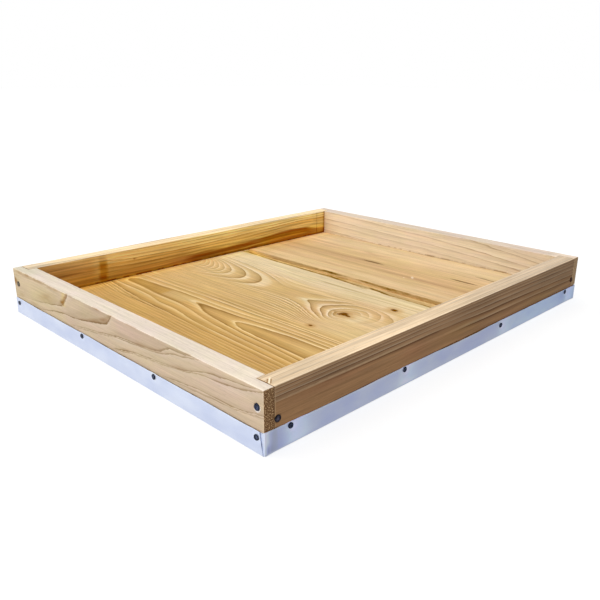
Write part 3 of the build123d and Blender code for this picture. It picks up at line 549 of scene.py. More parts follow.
def look_front(P, flags, dist):
    x, y, z = P.T
    u, v, w = x, z, y + HY
    top = step(56.9, 57.45, z)
    outer = step(1.5, 0.3, w) * (1 - top)
    # the outer face's dark brown multiplier is painted shade on a face turned away from the light
    tint = faces(P, 1, -HY, *TINT["front"]) * (1 + 0.05 * rough(u / 70, v / 20, w / 20, 71))[:, None]
    low = outer * step(2.0, -1.0, v - track(FRONT_LINES[1], u))
    tint = tint * hue(1 - 0.08 * low * step(-120, -50, u) - 0.10 * step(60, 200, u) * outer - 0.05 * (outer - low) * (1 + 0.7 * bump(0, 110, u)), 0.22 * low)
    # reddish and olive patches, and a greyer right end
    red = outer * (0.6 * bump(-200, 75, u) * bump(39, 7, v) + 0.7 * bump(-85, 36, u) * bump(33, 13, v) + 0.5 * bump(95, 20, u) * bump(25, 6, v))
    olive = outer * (bump(0, 55, u) * bump(31, 11, v) + bump(180, 60, u) * bump(25, 8, v))
    grey = outer * step(90, 220, u) + 0.6 * outer * (1 - low)
    tint = tint * np.stack([1 + 0.06 * red - 0.02 * grey, 1 - 0.05 * red + 0.02 * olive + 0.02 * grey, 1 - 0.08 * olive + 0.06 * grey], 1)
    fade = curve(u, [-282, -60, 50, 180, 282], [0.95, 0.945, 0.89, 0.79, 0.765])
    arris = top * step(2.0, 0.5, w)
    tint = tint * (1 + top * (fade - 1) + 0.12 * arris)[:, None] * np.stack([np.ones(len(u)), 1 + 0.02 * top * step(0, 200, u), 1 + 0.09 * top * step(-40, 200, u)], 1)
    end = np.where(np.abs(x) > TONGUE_X - 0.2, 1.0, 0.0)
    contrast = np.clip(1 + 0.5 * rough(u / 60, v / 4, w / 9, 73), 0.4, 1.3) * strengths(FRONT_LINES, u, v + 0.45 * w, 0.6, -1) * (1 - 0.74 * top) * (1 - 0.8 * low * step(-2.0, -5.0, v - track(FRONT_LINES[0], u))) * (1 - 0.8 * outer * step(10, -40, u) * step(-3.5, -6.0, v - track(FRONT_LINES[1], u)))
    # a split corner on top, its pale sliver and the pale lines on the face
    def stroke(a, b, half):
        d = np.array(b) - np.array(a)
        t = np.clip(((x - a[0]) * d[0] + (y - a[1]) * d[1]) / (d @ d), 0, 1)
        return np.hypot(x - a[0] - t * d[0], y - a[1] - t * d[1]) / half
    sliver = stroke((-267.4, -224.6), (-260.8, -218.4), 0.75) + 9 * (1 - top)
    split = np.minimum(stroke((-267.6, -222.6), (-263.4, -218.6), 0.7), stroke((-266.4, -225.6), (-261.4, -220.4), 0.7))
    split = np.minimum(split, 0.35 + stroke((-268.3, -225.0), (-268.3, -215.0), 0.8)) + 9 * (1 - top)
    line = np.minimum(blob(u, v - track(FRONT_LINES[1], u), -157, 0.9, 112, 0.8), blob(u, v, -268.2, 38.5, 0.8, 19.5)) + 9 * step(0.5, 1.5, w)
    stain_and_shade = 0.40 * step(TONGUE_X - 0.8, TONGUE_X - 0.2, np.abs(x)) * step(0.5, 1.5, w) * (1 - 0.6 * top) + 0.75 * step(1.2, 0.5, split)
    return pack(front_rings, u, v, w, 1500.0, tint, np.minimum(line, sliver), [], end, contrast, stain_and_shade)


def look_rear(P, flags, dist):
    x, y, z = P.T
    u, v, w = x, z, y - IN_Y
    top = step(56.9, 57.45, z)
    inner = step(0.8, 0.1, w)
    tint = faces(P, 1, HY, *TINT["rear"]) * (1 + 0.05 * rough(u / 70, v / 20, w / 20, 76))[:, None]
    pale = top * step(-225, -252, u)
    tint = tint * np.stack([1 - 0.18 * pale, 1 - 0.15 * pale, 1 + 0.09 * top - 0.06 * pale], 1)
    # less blue towards the bottom of the inner face; darker towards its right end, which is painted shade in the corner
    # by the right end rail
    tint[:, 2] *= 1 - inner * step(42, 26, v) * (0.39 + 0.10 * step(-60, -20, u) + 0.16 * step(90, 130, u)) + 0.10 * inner * step(42, 50, v) * step(-40, -80, u)
    tint = tint * (1 + 0.03 * inner * step(40, 46, v) - 0.17 * inner * step(222, 240, u))[:, None] * np.stack([1 + 0.05 * inner * step(-178, -190, u), np.ones(len(u)), 1 - 0.08 * inner * step(-178, -190, u)], 1)
    end = np.where(np.abs(x) > TONGUE_X - 0.2, 1.0, 0.0)
    # darker along the lower edge, arching up towards the right, with one pale line in it
    edge = curve(u, [-270, -176, -100, -66, -38, 50, 120, 170, 200, 225, 250, 270], [34, 30, 29, 29, 31, 32, 34.8, 37.2, 36.6, 33.4, 28.6, 26])
    d = v + 0.7 * rough(u / 26, v / 6, 0, 77) + 2.2 * rough(u / 55, v / 1.5, 0, 72) - edge
    deep = 0.28 + 0.64 * step(-75, -20, u) - 0.40 * step(212, 248, u)
    dark = deep * step(3.2, -1.4, d) * (1 - 0.08 * step(-2.5, -6.0, d) * step(80, 125, u)) * np.clip(0.97 + 0.35 * rough(u / 60, v / 1.6, 0, 55), 0.7, 1.05)
    dark = np.maximum(dark, step(5, -45, u) * (0.67 * step(49, 25, v + 1.6 * rough(u / 40, v / 3, 0, 79))))
    line = curve(u, [-270, 60, 72, 117, 167, 200, 225, 270], [20, 22.6, 23.6, 26.2, 27.8, 27.2, 25, 22])
    dark = dark * (1 - 0.36 * step(1.3, 0.2, np.abs(v - line)) * step(62, 84, u) * step(235, 195, u))
    # left: darker towards the left end, painted shade in the corner by the left end rail
    left = step(-160, -190, u) * (0.40 * step(57, 40, v + 0.13 * (u + 176)) + 0.14 + 0.12 * step(32, 24, v) + 0.20 * rough(u / 60, v / 3.2, 0, 70))
    dark = np.maximum(dark, 0.85 * step(25, 21.5, v) * step(60, 110, u))
    # one darker stripe across the board
    band = 0.36 + 0.26 * bump(43, 8, v) + 0.18 * bump(27, 6, v) - 0.16 * step(50, 56, v)
    stripe = band * step(7.5, 3.5, np.abs(u + 170 + 1.5 * rough(0, v / 6, 0, 74)))
    stain_and_shade = np.maximum(dark, left) * (1 - 0.4 * step(7.5, 3.5, np.abs(u + 170))) + stripe + 0.45 * step(0.9, 0.3, np.abs(u - 239.6)) * step(20, 26, v)
    # a ragged dark line along the foot of the inner face: painted shade in the crease with the planks
    stain_and_shade = np.clip(stain_and_shade, 0, 0.95) + 0.85 * step(22.4, 20.8, z) * step(-0.05, 0.4, rough(u / 6, 0, 0, 78) + 0.9 * bump(-157, 12, u) + 0.7 * bump(-110, 20, u) + 0.6 * bump(-42, 8, u) - 0.3 * bump(60, 100, u))
    # a dark line in the inner corner by the right end rail: painted shade
    stain_and_shade = stain_and_shade + 0.6 * step(253.5, 257.5, u)
    # foot: a darker tint along the same foot, painted shade in that crease
    foot = step(22.2, 20.6, z) * np.clip(0.62 + 1.3 * rough(u / 7, v / 3, 0, 54) + 0.4 * bump(-157, 14, u) + 0.3 * bump(-42, 12, u), 0, 1)
    tint = tint * (1 - 0.42 * inner * foot)[:, None]
    # a browner course under the pale rim edge, rising towards the right
    rise = 41 + curve(u, [-270, 110, 200, 270], [0, 0, 4.5, 5.5])
    brown = (0.95 - 0.45 * bump(155, 30, u) - 0.5 * step(-186, -200, u)) * bump(rise, 5.0, v + 0.8 * rough(u / 40, v / 4, 0, 53)) + 0.60 * bump(35, 5.5, v) * step(75, 15, u) * step(-178, -160, u) + 0.14 * step(-188, -204, u) * bump(38, 10, v)
    edge_up = step(47, 53, v) * (0.55 * step(-190, -206, u) + 0.85 * step(-80, -20, u))
    sill = step(25.0, 21.5, v)
    across = step(7.5, 3.5, np.abs(u + 170))
    course = hue(1 - 0.20 * brown + 0.03 * edge_up + 0.16 * bump(50.5, 5, v) * bump(130, 65, u) - 0.10 * sill - 0.09 * step(32.5, 29.5, v) * bump(12, 62, u), 0.62 * brown - 0.45 * edge_up + 0.55 * across * step(50, 45, v))
    course[:, 1] *= 1 - 0.17 * step(33, 30, v) * (step(115, 140, u) + bump(-40, 45, u) + 0.4 * bump(-110, 60, u))
    course[:, 2] *= (1 - 0.45 * sill) * (1 - 0.5 * across * step(52, 46, v)) * (1 - 0.62 * bump(30.5, 7.0, v) * step(95, 130, u) * step(235, 215, u))
    tint = tint * (1 + inner[:, None] * (course - 1))
    pin = blob(u, v, -122.5, 43.4, 2.6, 1.2)
    stain_and_shade = np.clip(stain_and_shade + 0.8 * step(1.2, 0.3, pin) + 0.25 * step(0.9, 0.3, np.abs(v - curve(u, [-165, -120, -100], [47, 43.2, 42]))) * bump(-140, 26, u), 0, 1)
    contrast = np.clip(1.1 * strengths(REAR_LINES, u, v + 0.4 * w, 0.5, -1) * (1 - 0.5 * top) * np.clip(0.9 + 0.6 * rough(u / 36, v / 5, w / 9, 75), 0.2, 1.2), 0, 1.1)
    return pack(rear_rings, u, v, w, 2300.0, tint, 9.0, [], end, contrast, stain_and_shade * inner)


RULED = [((-160, 0, 30, 211), (43.6, 43.4, 44.6, 52), 2.7, .46, -160, 10), ((-160, 0), (36.6, 36.4), 2.4, .30, -160, -30), ((-160, 0), (56.8, 56.2), 2.2, .24, -150, 0),
         ((-160, -110, -60, 0, 40), (13, 12.6, 11, 9.4, 10.4), 2.5, .20, -150, 30), ((20, 75), (46, 48), 2.5, .17, 18, 80), ((20, 75), (37.5, 41), 2.3, .15, 18, 75),
         ((20, 70, 120), (8, 12, 21), 2.5, .17, 24, 110), ((-40, 0, 40), (-3, -9, -7), 6.0, .10, -35, 45), ((-270, 270), (-96.4, -96.6), 1.9, .34, -66, 8),
         ((-270, 270), (-96.8, -97), 1.7, .22, 24, 64), ((-270, 270), (-96.4, -96), 1.7, .20, 168, 204)]
STROKES = [(-152, 61.5, -85, 61.5, 2.2, .75), (-84, 62.0, -57, 66.3, 2.6, 1.1), (-50, 61, -18, 64.5, 2.2, .66), (-18, 64.8, 6, 67.5, 2.4, .68),
           (4, 66.0, 22, 69.4, 2.6, .98), (20, 69, 36, 67.8, 2.4, .85), (36, 67.2, 76, 66.8, 2.2, .95), (76, 66.6, 86, 68.6, 2.0, .9),
           (86, 67.6, 130, 67.4, 1.8, .68), (130, 67.8, 160, 70.2, 2.2, .85), (158, 70.4, 216, 71.8, 2.0, .82)]


def channel_dark(x, y, z):
    """Dark marks in the channel: strokes along the near edge, and a broken band on the far wall that partly paints the
    shade in the recess.
    """
    k = np.clip(Z_RIM - z, 0, 4.5) / 264.6
    u, v = y - k * (y + 567), x - k * (x + 575)
    v = v + 0.7 * rough(u / 6, v / 5, 0, 84)
    out = np.zeros(len(u))
    for u0, v0, u1, v1, half, dark in STROKES:
        t = np.clip(((u - u0) * (u1 - u0) + (v - v0) * (v1 - v0)) / ((u1 - u0) ** 2 + (v1 - v0) ** 2), 0, 1)
        d = np.hypot((u - u0 - t * (u1 - u0)) * 0.5, v - v0 - t * (v1 - v0)) / half
        out = np.maximum(out, dark * step(1.15, 0.3, d))
    low = curve(u, [-240, -150, -110, -85, -70, -60, -45, -30, -15, 0, 8, 18, 30, 45, 60, 80, 140, 150, 240], [74, 74, 74, 74.6, 76.5, 78.5, 80, 81, 83, 83.5, 81, 79, 78.5, 78.5, 75, 73.5, 73, 73, 73])
    dark = curve(u, [-240, -150, -130, -110, -100, -85, -75, -62, -50, -40, -28, -20, -10, 0, 10, 20, 30, 42, 52, 62, 75, 100, 135, 150, 165, 185, 240],
                 [.60, .62, .60, .70, .62, .88, .92, .72, .76, .92, .92, .64, .45, .38, .6, .9, 1.2, .98, .7, .48, .36, .31, .29, .23, .22, .22, .40])
    out = np.maximum(out, dark * step(-1.5, 1.2, v - low) * step(88, 85.2, v))
    out = np.maximum(out, 0.28 * step(1.2, 0.4, blob(u, v, 2, 73, 14, 7)))
    return out * np.clip(0.95 + 0.6 * rough(u / 9, v / 4, 0, 83) + 0.35 * rough((u - 1.4 * v) / 5, (u + v) / 40, 0, 87), 0.25, 1.25)


def look_wide(P, flags, dist):
    x, y, z = P.T
    n = len(P)
    u, v, w = y, x, Z_RIM - z
    knot = np.minimum(blob(u, v, -94.0, -31.2, 6.2, 5.0), blob(u, v, -101.5, -33.4, 5.2, 2.5, 0.15))
    knot = np.minimum(knot, blob(u, v, -89.8, -35.2, 3.2, 1.9, -0.6))
    knot = np.minimum(knot, np.minimum(blob(u, v, -127.2, 21.4, 5.4, 4.0, 0.1), blob(u, v, -92.3, -85.7, 3.2, 2.3, 0.0)))
    checks = [(-177, 0.012, 66, 154, 0.55)]
    # wide rings carry the contrast, the fine straight ones are quieter
    rho, angle = np.hypot(u + 94.0, v + 32.0), np.degrees(np.arctan2(v + 32.0, u + 94.0))
    ring_eye = step(110, 90, rho) * step(-5, -25, u) * step(2.5, -2.5, v - wide_top(u)) * step(-66, -58, v)
    ring_bow = step(30, 52, u) * step(2.5, -2.5, v - wide_top(u)) * step(-48, -32, v)
    eye = curve(angle, [-180, -130, -100, -75, -50, 0, 30, 60, 90, 130, 160, 180], [.08, .06, .12, .45, .95, 1, .95, .62, .42, .36, .24, .08])
    hollow = step(36, 24, rho) * step(128, 158, np.abs(angle))
    eye = eye * (1 - 0.85 * hollow) + 0.25 * step(42, 50, rho) * bump(148, 26, angle)
    bow = curve(u, [0, 70, 100, 132, 150, 211], [.9, .88, .66, .56, .5, .42])
    plain = step(-78, -100, u) * step(-50, -66, v) * step(-99, -88, v)
    fan = step(-84, -62, u) * (1 - 0.85 * step(-10, 45, u))
    c = 0.15 + (0.22 + 0.44 * fan - 0.15) * step(-15, -45, v)
    tongue = 0.74 + 0.2 * step(-50, -90, u) * step(-130, -124, v) - 0.25 * step(20, 80, u) * step(-114, -110, v) - (0.34 + 0.22 * step(0, 40, u)) * step(-174, -182, v) - 0.25 * bump(24, 60, u) * bump(-136, 13, v)
    tongue = tongue + 0.25 * bump(-121, 5, v) * bump(65, 85, u)
    c = c + (tongue - c) * step(-93, -98, v)
    c = c * (1 - np.maximum(ring_eye, ring_bow)) + np.maximum(ring_eye * eye, ring_bow * bow)
    c = c * (1 - 0.8 * plain) * (1 - 0.4 * step(165, 211, u) * step(-80, -50, v))
    c = 1.14 * c * np.clip(1 + 0.5 * rough(u / 45, v / 8, 0, 82), 0.4, 1.3)
    # single soft lines: stations, heights, half width, depth, from, to
    ruled = np.zeros(n)
    for us, vs, half, deep, u0, u1 in RULED:
        gap = np.abs(v + 0.5 * rough(u / 30, v / 9, 0, 88) - curve(u, us, vs))
        ruled = np.maximum(ruled, deep * step(half, 0.2 * half, gap) * step(u0 - 12, u0 + 12, u) * step(u1 + 12, u1 - 12, u))
    ruled = ruled + 0.5 * step(1.4, 0.5, blob(u, v, -81.5, -37.0, 9.5, 6.0, 0.75)) * np.clip(0.6 + 1.4 * rough((u - v) / 3.2, (u + v) / 16, 0, 86), 0, 1)
    # the channel: a tan floor, dark strokes along its near edge and a dark band on its far wall
    floor = (x > 58) & (z < Z_RIM - 1.0)
    channel_marks = np.where(x > 57, channel_dark(x, y, z), 0.0)
    lip = 0.26 * bump(64.3 + 4.5 * u / 232, 2.6, v + 0.8 * rough(u / 8, 0, 0, 90)) * (z > Z_RIM - 1.0)
    stain_and_shade = np.where(x > 57, np.maximum(channel_marks, lip), ruled) + np.where(floor, 0.22 - 0.04 * step(50, 85, y) + 0.25 * rough(y / 26, x / 2.6, 0, 85) + 0.16 * rough((y - 1.4 * x) / 6, x / 9, 0, 80), 0.0)
    # paler towards the seam; warmer and deeper towards the left end rail, partly painted shade from that rail; beside
    # the rear rail painted light that makes up for the shade there, and painted warm shade at its foot
    fill = bump(14, 60, u) * bump(-22, 30, v)
    light = 0.975 + 0.12 * step(-5, 40, v) + 0.035 * (bump(40.2, 2.6, v) + bump(48.6, 3.0, v)) * step(25, -20, u) - 0.03 * fan * bump(-75, 22, v) - 0.09 * step(-110, -200, v) + 0.22 * step(140, 205, u) + 0.45 * step(190, 207, u) - 0.20 * step(201, 211, u) - 0.03 * fill + 0.04 * rough(u / 80, v / 30, 0, 81)
    warm = 0.02 + 0.16 * step(-35, -60, v) + 0.43 * step(-60, -190, v) - 0.60 * step(-15, 45, v) + 0.10 * step(170, 200, u) + 0.33 * step(196, 210, u) + 0.10 * fill
    tip = step(1.3, 0.4, blob(u, v, -19, -27.5, 9, 6))
    light = light + 0.10 * tip + 0.07 * hollow
    # a pale rosy patch before one ring tip and an olive one behind it
    patch = step(58, 68, u + 1.2 * (v + 130)) * step(124, 114, u) * step(-144, -140, v) * step(-121, -125, v)
    moss = step(114, 124, u) * step(-146, -142, v) * step(-123, -128, v)
    fade = step(-90, -140, u) * bump(-138, 14, v)
    light = light + 0.05 * patch + 0.02 * fade
    warm = warm - 0.28 * patch + 0.26 * moss - 0.22 * fade
    cream = step(-60, -105, u) * step(-100, -80, v) * step(-5, -40, v)
    warm = warm - 0.35 * tip - 0.24 * hollow - 0.42 * cream - 0.26 * step(0, 30, v)
    # the channel floor: painted light that makes up for its shade in the corner at the far wall and beside the rear
    # rail, and painted shade at the rear rail's foot
    light = np.where(floor, 1.0 - 0.10 * bump(-22, 40, y) + 0.08 * step(60, 90, y) + 0.12 * step(78, 85, x) + 0.04 * bump(88, 24, y) + 0.62 * step(150, 195, y) - 0.16 * step(198, 211, y), light + 0.035 * cream) * (1 - 0.36 * step(0.88, 1.2, channel_marks))
    warm = np.where(floor, -0.02 + 0.14 * step(20, 60, y) - 0.30 * step(150, 190, y), warm)
    rosy = rough(u / 30, v / 12, 0, 89)
    tint = hue(light, warm) * np.stack([1 + 0.01 * rosy, 1 - 0.012 * rosy + 0.03 * moss, 1 + 0.045 * rosy], 1)
    tint[:, 1] *= 1 + np.where(floor, 0.02 + 0.04 * step(40, 70, y) + 0.06 * step(155, 180, y), 0.0)
    tint[:, 1] *= 1 - 0.03 * step(64, 44, rho) + 0.01 * step(-60, -160, v) - 0.03 * step(-10, 20, v) + 0.04 * step(170, 205, u)
    return pack(wide_rings, u, v, w, 3100.0, tint, knot, checks, np.where(np.abs(y) > HY - 0.2, 1.0, 0.0), np.clip(c, 0.06, 1), stain_and_shade)


def look_narrow(P, flags, dist):
    x, y, z = P.T
    n = len(P)
    u, v, w = y, x, Z_RIM - z
    checks = [(179.5, 0.02, -146, -100, 2.8), (168.5, 0.0, 4, 46, 2.8), (211, 0.10, -162, -120, 1.6)]
    knot = np.minimum(blob(u, v, -62.5, 146.0, 5.0, 1.8, 0.86), 0.55 + blob(u, v, -54.5, 137.5, 4.0, 1.3, 0.86))
    c = 0.13 + 0.09 * rough(u / 60, v / 20, 0, 91)
    # the wall of the channel, golden brown and ragged, its dark band partly painted shade
    wall = np.where((x < SEAM_FAR + 1.5) & (z < Z_RIM + 0.1), channel_dark(np.minimum(x, SEAM_FAR), y, z), 0.0)
    soft = 0.9 * bump(167.5, 8, v) * step(-10, 40, u) + 0.8 * bump(143, 8, v + 0.012 * u) * step(60, -60, u) + 0.7 * bump(157, 28, v)
    soft = soft + 0.8 * bump(208, 7, v + 5 * bump(48, 26, u)) * step(-10, 30, u) * step(200, 165, u) * (1 - 0.6 * bump(85, 22, u)) + 0.5 * bump(122, 7, v) * bump(-40, 110, u) + 0.4 * bump(190, 5, v) * bump(40, 80, u) - 0.35 * bump(151, 3.5, v) * bump(-10, 60, u) + 0.35 * bump(141, 7, v) * step(-50, -90, u)
    # beside the rear rail: painted light that makes up for the shade there, and painted shade at its foot
    light = 0.975 + 0.03 * step(190, 240, v) - 0.18 * soft + 0.03 * bump(106, 12, v) + 0.20 * step(140, 205, u) + 0.40 * step(190, 207, u) - 0.22 * step(201, 211, u) + 0.05 * rough(u / 90, v / 18, 0, 92) + 0.04 * rough(u / 70, v / 5, 0, 94)
    # a painted highlight along the top edge beside the seam
    light = light + 0.07 * bump(88.5, 4, v) * np.clip(0.5 + 1.2 * rough(u / 24, 0, 0, 96), 0, 1) + bump(91.5, 6.5, v) * (0.11 * step(-40, 60, u) + 0.09 * step(105, 150, u))
    # warmer beside the rear rail: painted shade
    warm = -0.02 - 0.46 * step(180, 240, v) - 0.12 * bump(106, 14, v) - 0.10 * step(112, 88, v) + 0.12 * soft - 0.10 * bump(112, 24, v) * step(60, -20, u) + 0.24 * step(150, 200, u) + 0.33 * step(196, 210, u)
    rosy = rough(u / 34, v / 12, 0, 97)
    # side: the channel wall, with painted light that makes up for its shade beside the rear rail and at its base
    side = (z < Z_RIM - 0.6) * (x < SEAM_FAR + 1.5)
    light = (light + side * (0.45 * step(150, 211, y) + 0.20 * step(17.6, 15.4, z))) * (1 - 0.36 * step(0.88, 1.2, wall))
    tint = hue(light, warm) * np.stack([1 + 0.02 * rosy, 0.985 - 0.02 * rosy - 0.02 * soft, 0.985 + 0.06 * rosy], 1)
    tint[:, 1] *= 1 + side * (0.03 + 0.10 * step(140, 205, y)) + 0.04 * step(170, 205, u)
    return pack(narrow_rings, u, v, w, 3900.0, tint, knot, checks, np.where(np.abs(y) > HY - 0.2, 1.0, 0.0), c, wall)


# ------------------------------------------------------------------ materials
def rgb(r, g, b):
    return tuple(((c / 255 / 12.92) if c <= 10.3 else ((c / 255 + 0.055) / 1.055) ** 2.4) for c in (r, g, b)) + (1.0,)


class Graph:
    """A material's nodes, written as expressions."""

    def __init__(self, name):
        self.mat = bpy.data.materials.new(name)
        self.mat.use_nodes = True
        self.tree = self.mat.node_tree
        self.tree.nodes.clear()
        self.out = self.tree.nodes.new("ShaderNodeOutputMaterial")
        self.bsdf = self.tree.nodes.new("ShaderNodeBsdfPrincipled")
        self.tree.links.new(self.bsdf.outputs[0], self.out.inputs[0])

    def node(self, kind, **props):
        n = self.tree.nodes.new(kind)
        for k, v in props.items():
            setattr(n, k, v)
        return n

    def put(self, socket, value):
        if isinstance(value, bpy.types.NodeSocket):
            self.tree.links.new(value, socket)
        else:
            socket.default_value = value

    def math(self, op, a, b=0.0, c=0.0, clamp=False):
        n = self.node("ShaderNodeMath", operation=op, use_clamp=clamp)
        for s, v in zip(n.inputs, (a, b, c)):
            self.put(s, v)
        return n.outputs[0]

    def add(self, *terms):
        out = terms[0]
        for t in terms[1:]:
            out = self.math("ADD", out, t)
        return out

    def mul(self, *terms):
        out = terms[0]
        for t in terms[1:]:
            out = self.math("MULTIPLY", out, t)
        return out

    def off(self, a, k, mid=0.5):
        """(a - mid) * k"""
        return self.math("MULTIPLY", self.math("SUBTRACT", a, mid), k)

    def attr(self, name, vector=False):
        n = self.node("ShaderNodeAttribute", attribute_type="GEOMETRY", attribute_name=name)
        return n.outputs["Vector"] if vector else n.outputs["Fac"]

    def split(self, v):
        n = self.node("ShaderNodeSeparateXYZ")
        self.put(n.inputs[0], v)
        return n.outputs[0], n.outputs[1], n.outputs[2]

    def scale(self, v, xyz):
        n = self.node("ShaderNodeVectorMath", operation="MULTIPLY")
        self.put(n.inputs[0], v)
        n.inputs[1].default_value = xyz
        return n.outputs[0]

    def noise(self, v, xyz, detail=2.0, roughness=0.5):
        n = self.node("ShaderNodeTexNoise", noise_dimensions="3D")
        self.put(n.inputs["Vector"], self.scale(v, xyz))
        n.inputs["Scale"].default_value = 1.0
        n.inputs["Detail"].default_value = detail
        n.inputs["Roughness"].default_value = roughness
        return n.outputs[0]

    def chance(self, w):
        n = self.node("ShaderNodeTexWhiteNoise", noise_dimensions="1D")
        self.put(n.inputs["W"], w)
        return n.outputs["Value"]

    def ramp(self, v, a, b, c=0.0, d=1.0, smooth=True):
        n = self.node("ShaderNodeMapRange", interpolation_type="SMOOTHSTEP" if smooth else "LINEAR", clamp=True)
        for s, t in zip(n.inputs, (v, a, b, c, d)):
            self.put(s, t)
        return n.outputs[0]

    def mix(self, fac, a, b, blend="MIX"):
        n = self.node("ShaderNodeMix", data_type="RGBA", blend_type=blend, clamp_factor=True)
        self.put(n.inputs[0], fac)
        self.put(n.inputs[6], a)
        self.put(n.inputs[7], b)
        return n.outputs[2]

    def gain(self, colour, k):
        """colour times the number k"""
        n = self.node("ShaderNodeVectorMath", operation="SCALE")
        self.put(n.inputs[0], colour)
        self.put(n.inputs["Scale"], k)
        return n.outputs[0]

    def bump(self, height, distance, strength=1.0):
        n = self.node("ShaderNodeBump")
        n.inputs["Strength"].default_value = strength
        n.inputs["Distance"].default_value = distance
        self.put(n.inputs["Height"], height)
        return n.outputs[0]


def wood(name, base, pale, late, stain_and_shade=(171, 132, 69), late_from=0.25, late_pow=1.6, line=0.0, line_from=0.85, line_mm=0.0, even=0.35, seed=0.0, jag=1.0,
         streaky=0.45, fibre=0.45, bandy=0.2, end_dark=(116, 84, 54), end_pale=(206, 168, 124), speck_col=None, rough0=0.58, gloss=0.1):
    g = Graph(name)
    pos = g.attr("grain", True)
    knot, check, half = g.split(g.attr("marks", True))
    end, contrast, stain_and_shade_amount = g.split(g.attr("misc", True))
    fine = g.noise(pos, (0.022, 0.95, 0.95), 3.0, 0.6)
    streak = g.noise(pos, (0.008, 0.30, 0.30), 2.0)
    broad = g.noise(pos, (0.004, 0.10, 0.10), 1.0)
    jit = g.noise(pos, (0.030, 0.36, 0.36), 2.0)
    pore = g.noise(pos, (0.15, 2.5, 2.5), 1.0)
    blot = g.noise(pos, (0.012, 0.035, 0.035), 2.0)
    # rings: pale early wood that deepens to a sharp dark late edge
    r = g.add(g.attr("ring"), g.mul(g.attr("slope"), g.add(g.off(jit, 2.6 * jag), g.off(fine, 1.0 * jag))))
    f = g.math("FRACT", r)
    idx = g.math("FLOOR", g.add(r, seed))
    con = g.math("MULTIPLY_ADD", g.chance(idx), 1.0 - even, even)
    drop = g.ramp(f, 0.955, 1.0, 1.0, 0.0)
    thin = g.ramp(f, line_from, 0.955)
    if line_mm:
        # a line of its own width, however wide the ring is
        gap = g.math("DIVIDE", g.math("SUBTRACT", 1.0, f), g.attr("pitch"))
        thin = g.ramp(gap, line_mm, 0.35 * line_mm)
        drop = g.ramp(gap, 0.12, 0.0, 1.0, 0.0)
    shade = g.add(g.mul(g.math("POWER", g.ramp(f, late_from, 0.955), late_pow), 1.0 - line), g.mul(thin, line))
    late_m = g.mul(shade, drop, con, contrast)
    pale_m = g.mul(g.ramp(f, 0.06, 0.46, 1.0, 0.0), con, contrast)
    col = g.mix(pale_m, rgb(*base), rgb(*pale))
    col = g.mix(late_m, col, rgb(*late))
    # fibres, pores and broad tone
    col = g.gain(col, g.add(1.0, g.off(streak, streaky), g.off(fine, fibre), g.off(broad, bandy), g.off(blot, 0.15)))
    col = g.mix(g.mul(g.ramp(pore, 0.60, 0.78), 0.25), col, rgb(*[int(c * 0.62) for c in late]))
    # knots with a warm halo, or one pale chip
    if speck_col is None:
        k = g.add(knot, g.off(jit, 0.7), g.off(fine, 0.9), g.off(pore, 0.8))
        col = g.mix(g.mul(g.ramp(k, 1.0, 3.4, 1.0, 0.0), 0.6), col, rgb(196, 146, 78))
        core = g.ramp(k, 0.6, 1.2, 1.0, 0.0)
        col = g.mix(core, col, g.mix(g.ramp(pore, 0.35, 0.65), rgb(82, 44, 2), rgb(142, 86, 14)))
    else:
        core = g.ramp(g.add(knot, g.off(pore, 1.6), g.off(jit, 0.8)), 0.7, 1.3, 1.0, 0.0)
        col = g.mix(core, col, rgb(*speck_col))
    # drying checks
    t = g.math("DIVIDE", g.math("ABSOLUTE", g.add(check, g.off(pore, 0.9), g.off(jit, 0.8))), g.math("MAXIMUM", half, 0.001))
    crack = g.ramp(t, 0.2, 1.2, 1.0, 0.0)
    col = g.mix(g.mul(crack, 0.75), col, rgb(98, 66, 20))
    # stains, painted shade where the looks put it, and end grain
    col = g.mix(g.mul(stain_and_shade_amount, g.add(1.0, g.off(fine, 0.5), g.off(blot, 0.3))), col, g.mix(1.0, col, rgb(*stain_and_shade), "MULTIPLY"))
    # the tint attribute: each board's tone, with painted light and shade in places
    col = g.mix(1.0, col, g.attr("tint", True), "MULTIPLY")
    speck = g.noise(pos, (0.50, 0.85, 0.85), 3.0, 0.75)
    endcol = g.mix(g.ramp(speck, 0.34, 0.51), rgb(*end_pale), rgb(*end_dark))
    endcol = g.mix(g.mul(late_m, 0.35), endcol, rgb(*end_dark))
    endcol = g.mix(g.mul(stain_and_shade_amount, 0.6), endcol, rgb(50, 34, 22))
    col = g.mix(end, col, endcol)
    g.put(g.bsdf.inputs["Base Color"], col)
    g.put(g.bsdf.inputs["Roughness"], g.add(rough0, g.off(fine, 0.22), g.off(pore, 0.12), g.mul(core, -0.1)))
    g.bsdf.inputs["Specular IOR Level"].default_value = gloss
    height = g.add(g.mul(fine, 0.8), g.mul(g.ramp(pore, 0.55, 0.8), -0.7), g.mul(late_m, 0.7), g.mul(crack, -4.0), g.mul(end, g.mul(speck, 1.2)))
    g.put(g.bsdf.inputs["Normal"], g.bump(height, 0.00010, 0.8))
    return g.mat


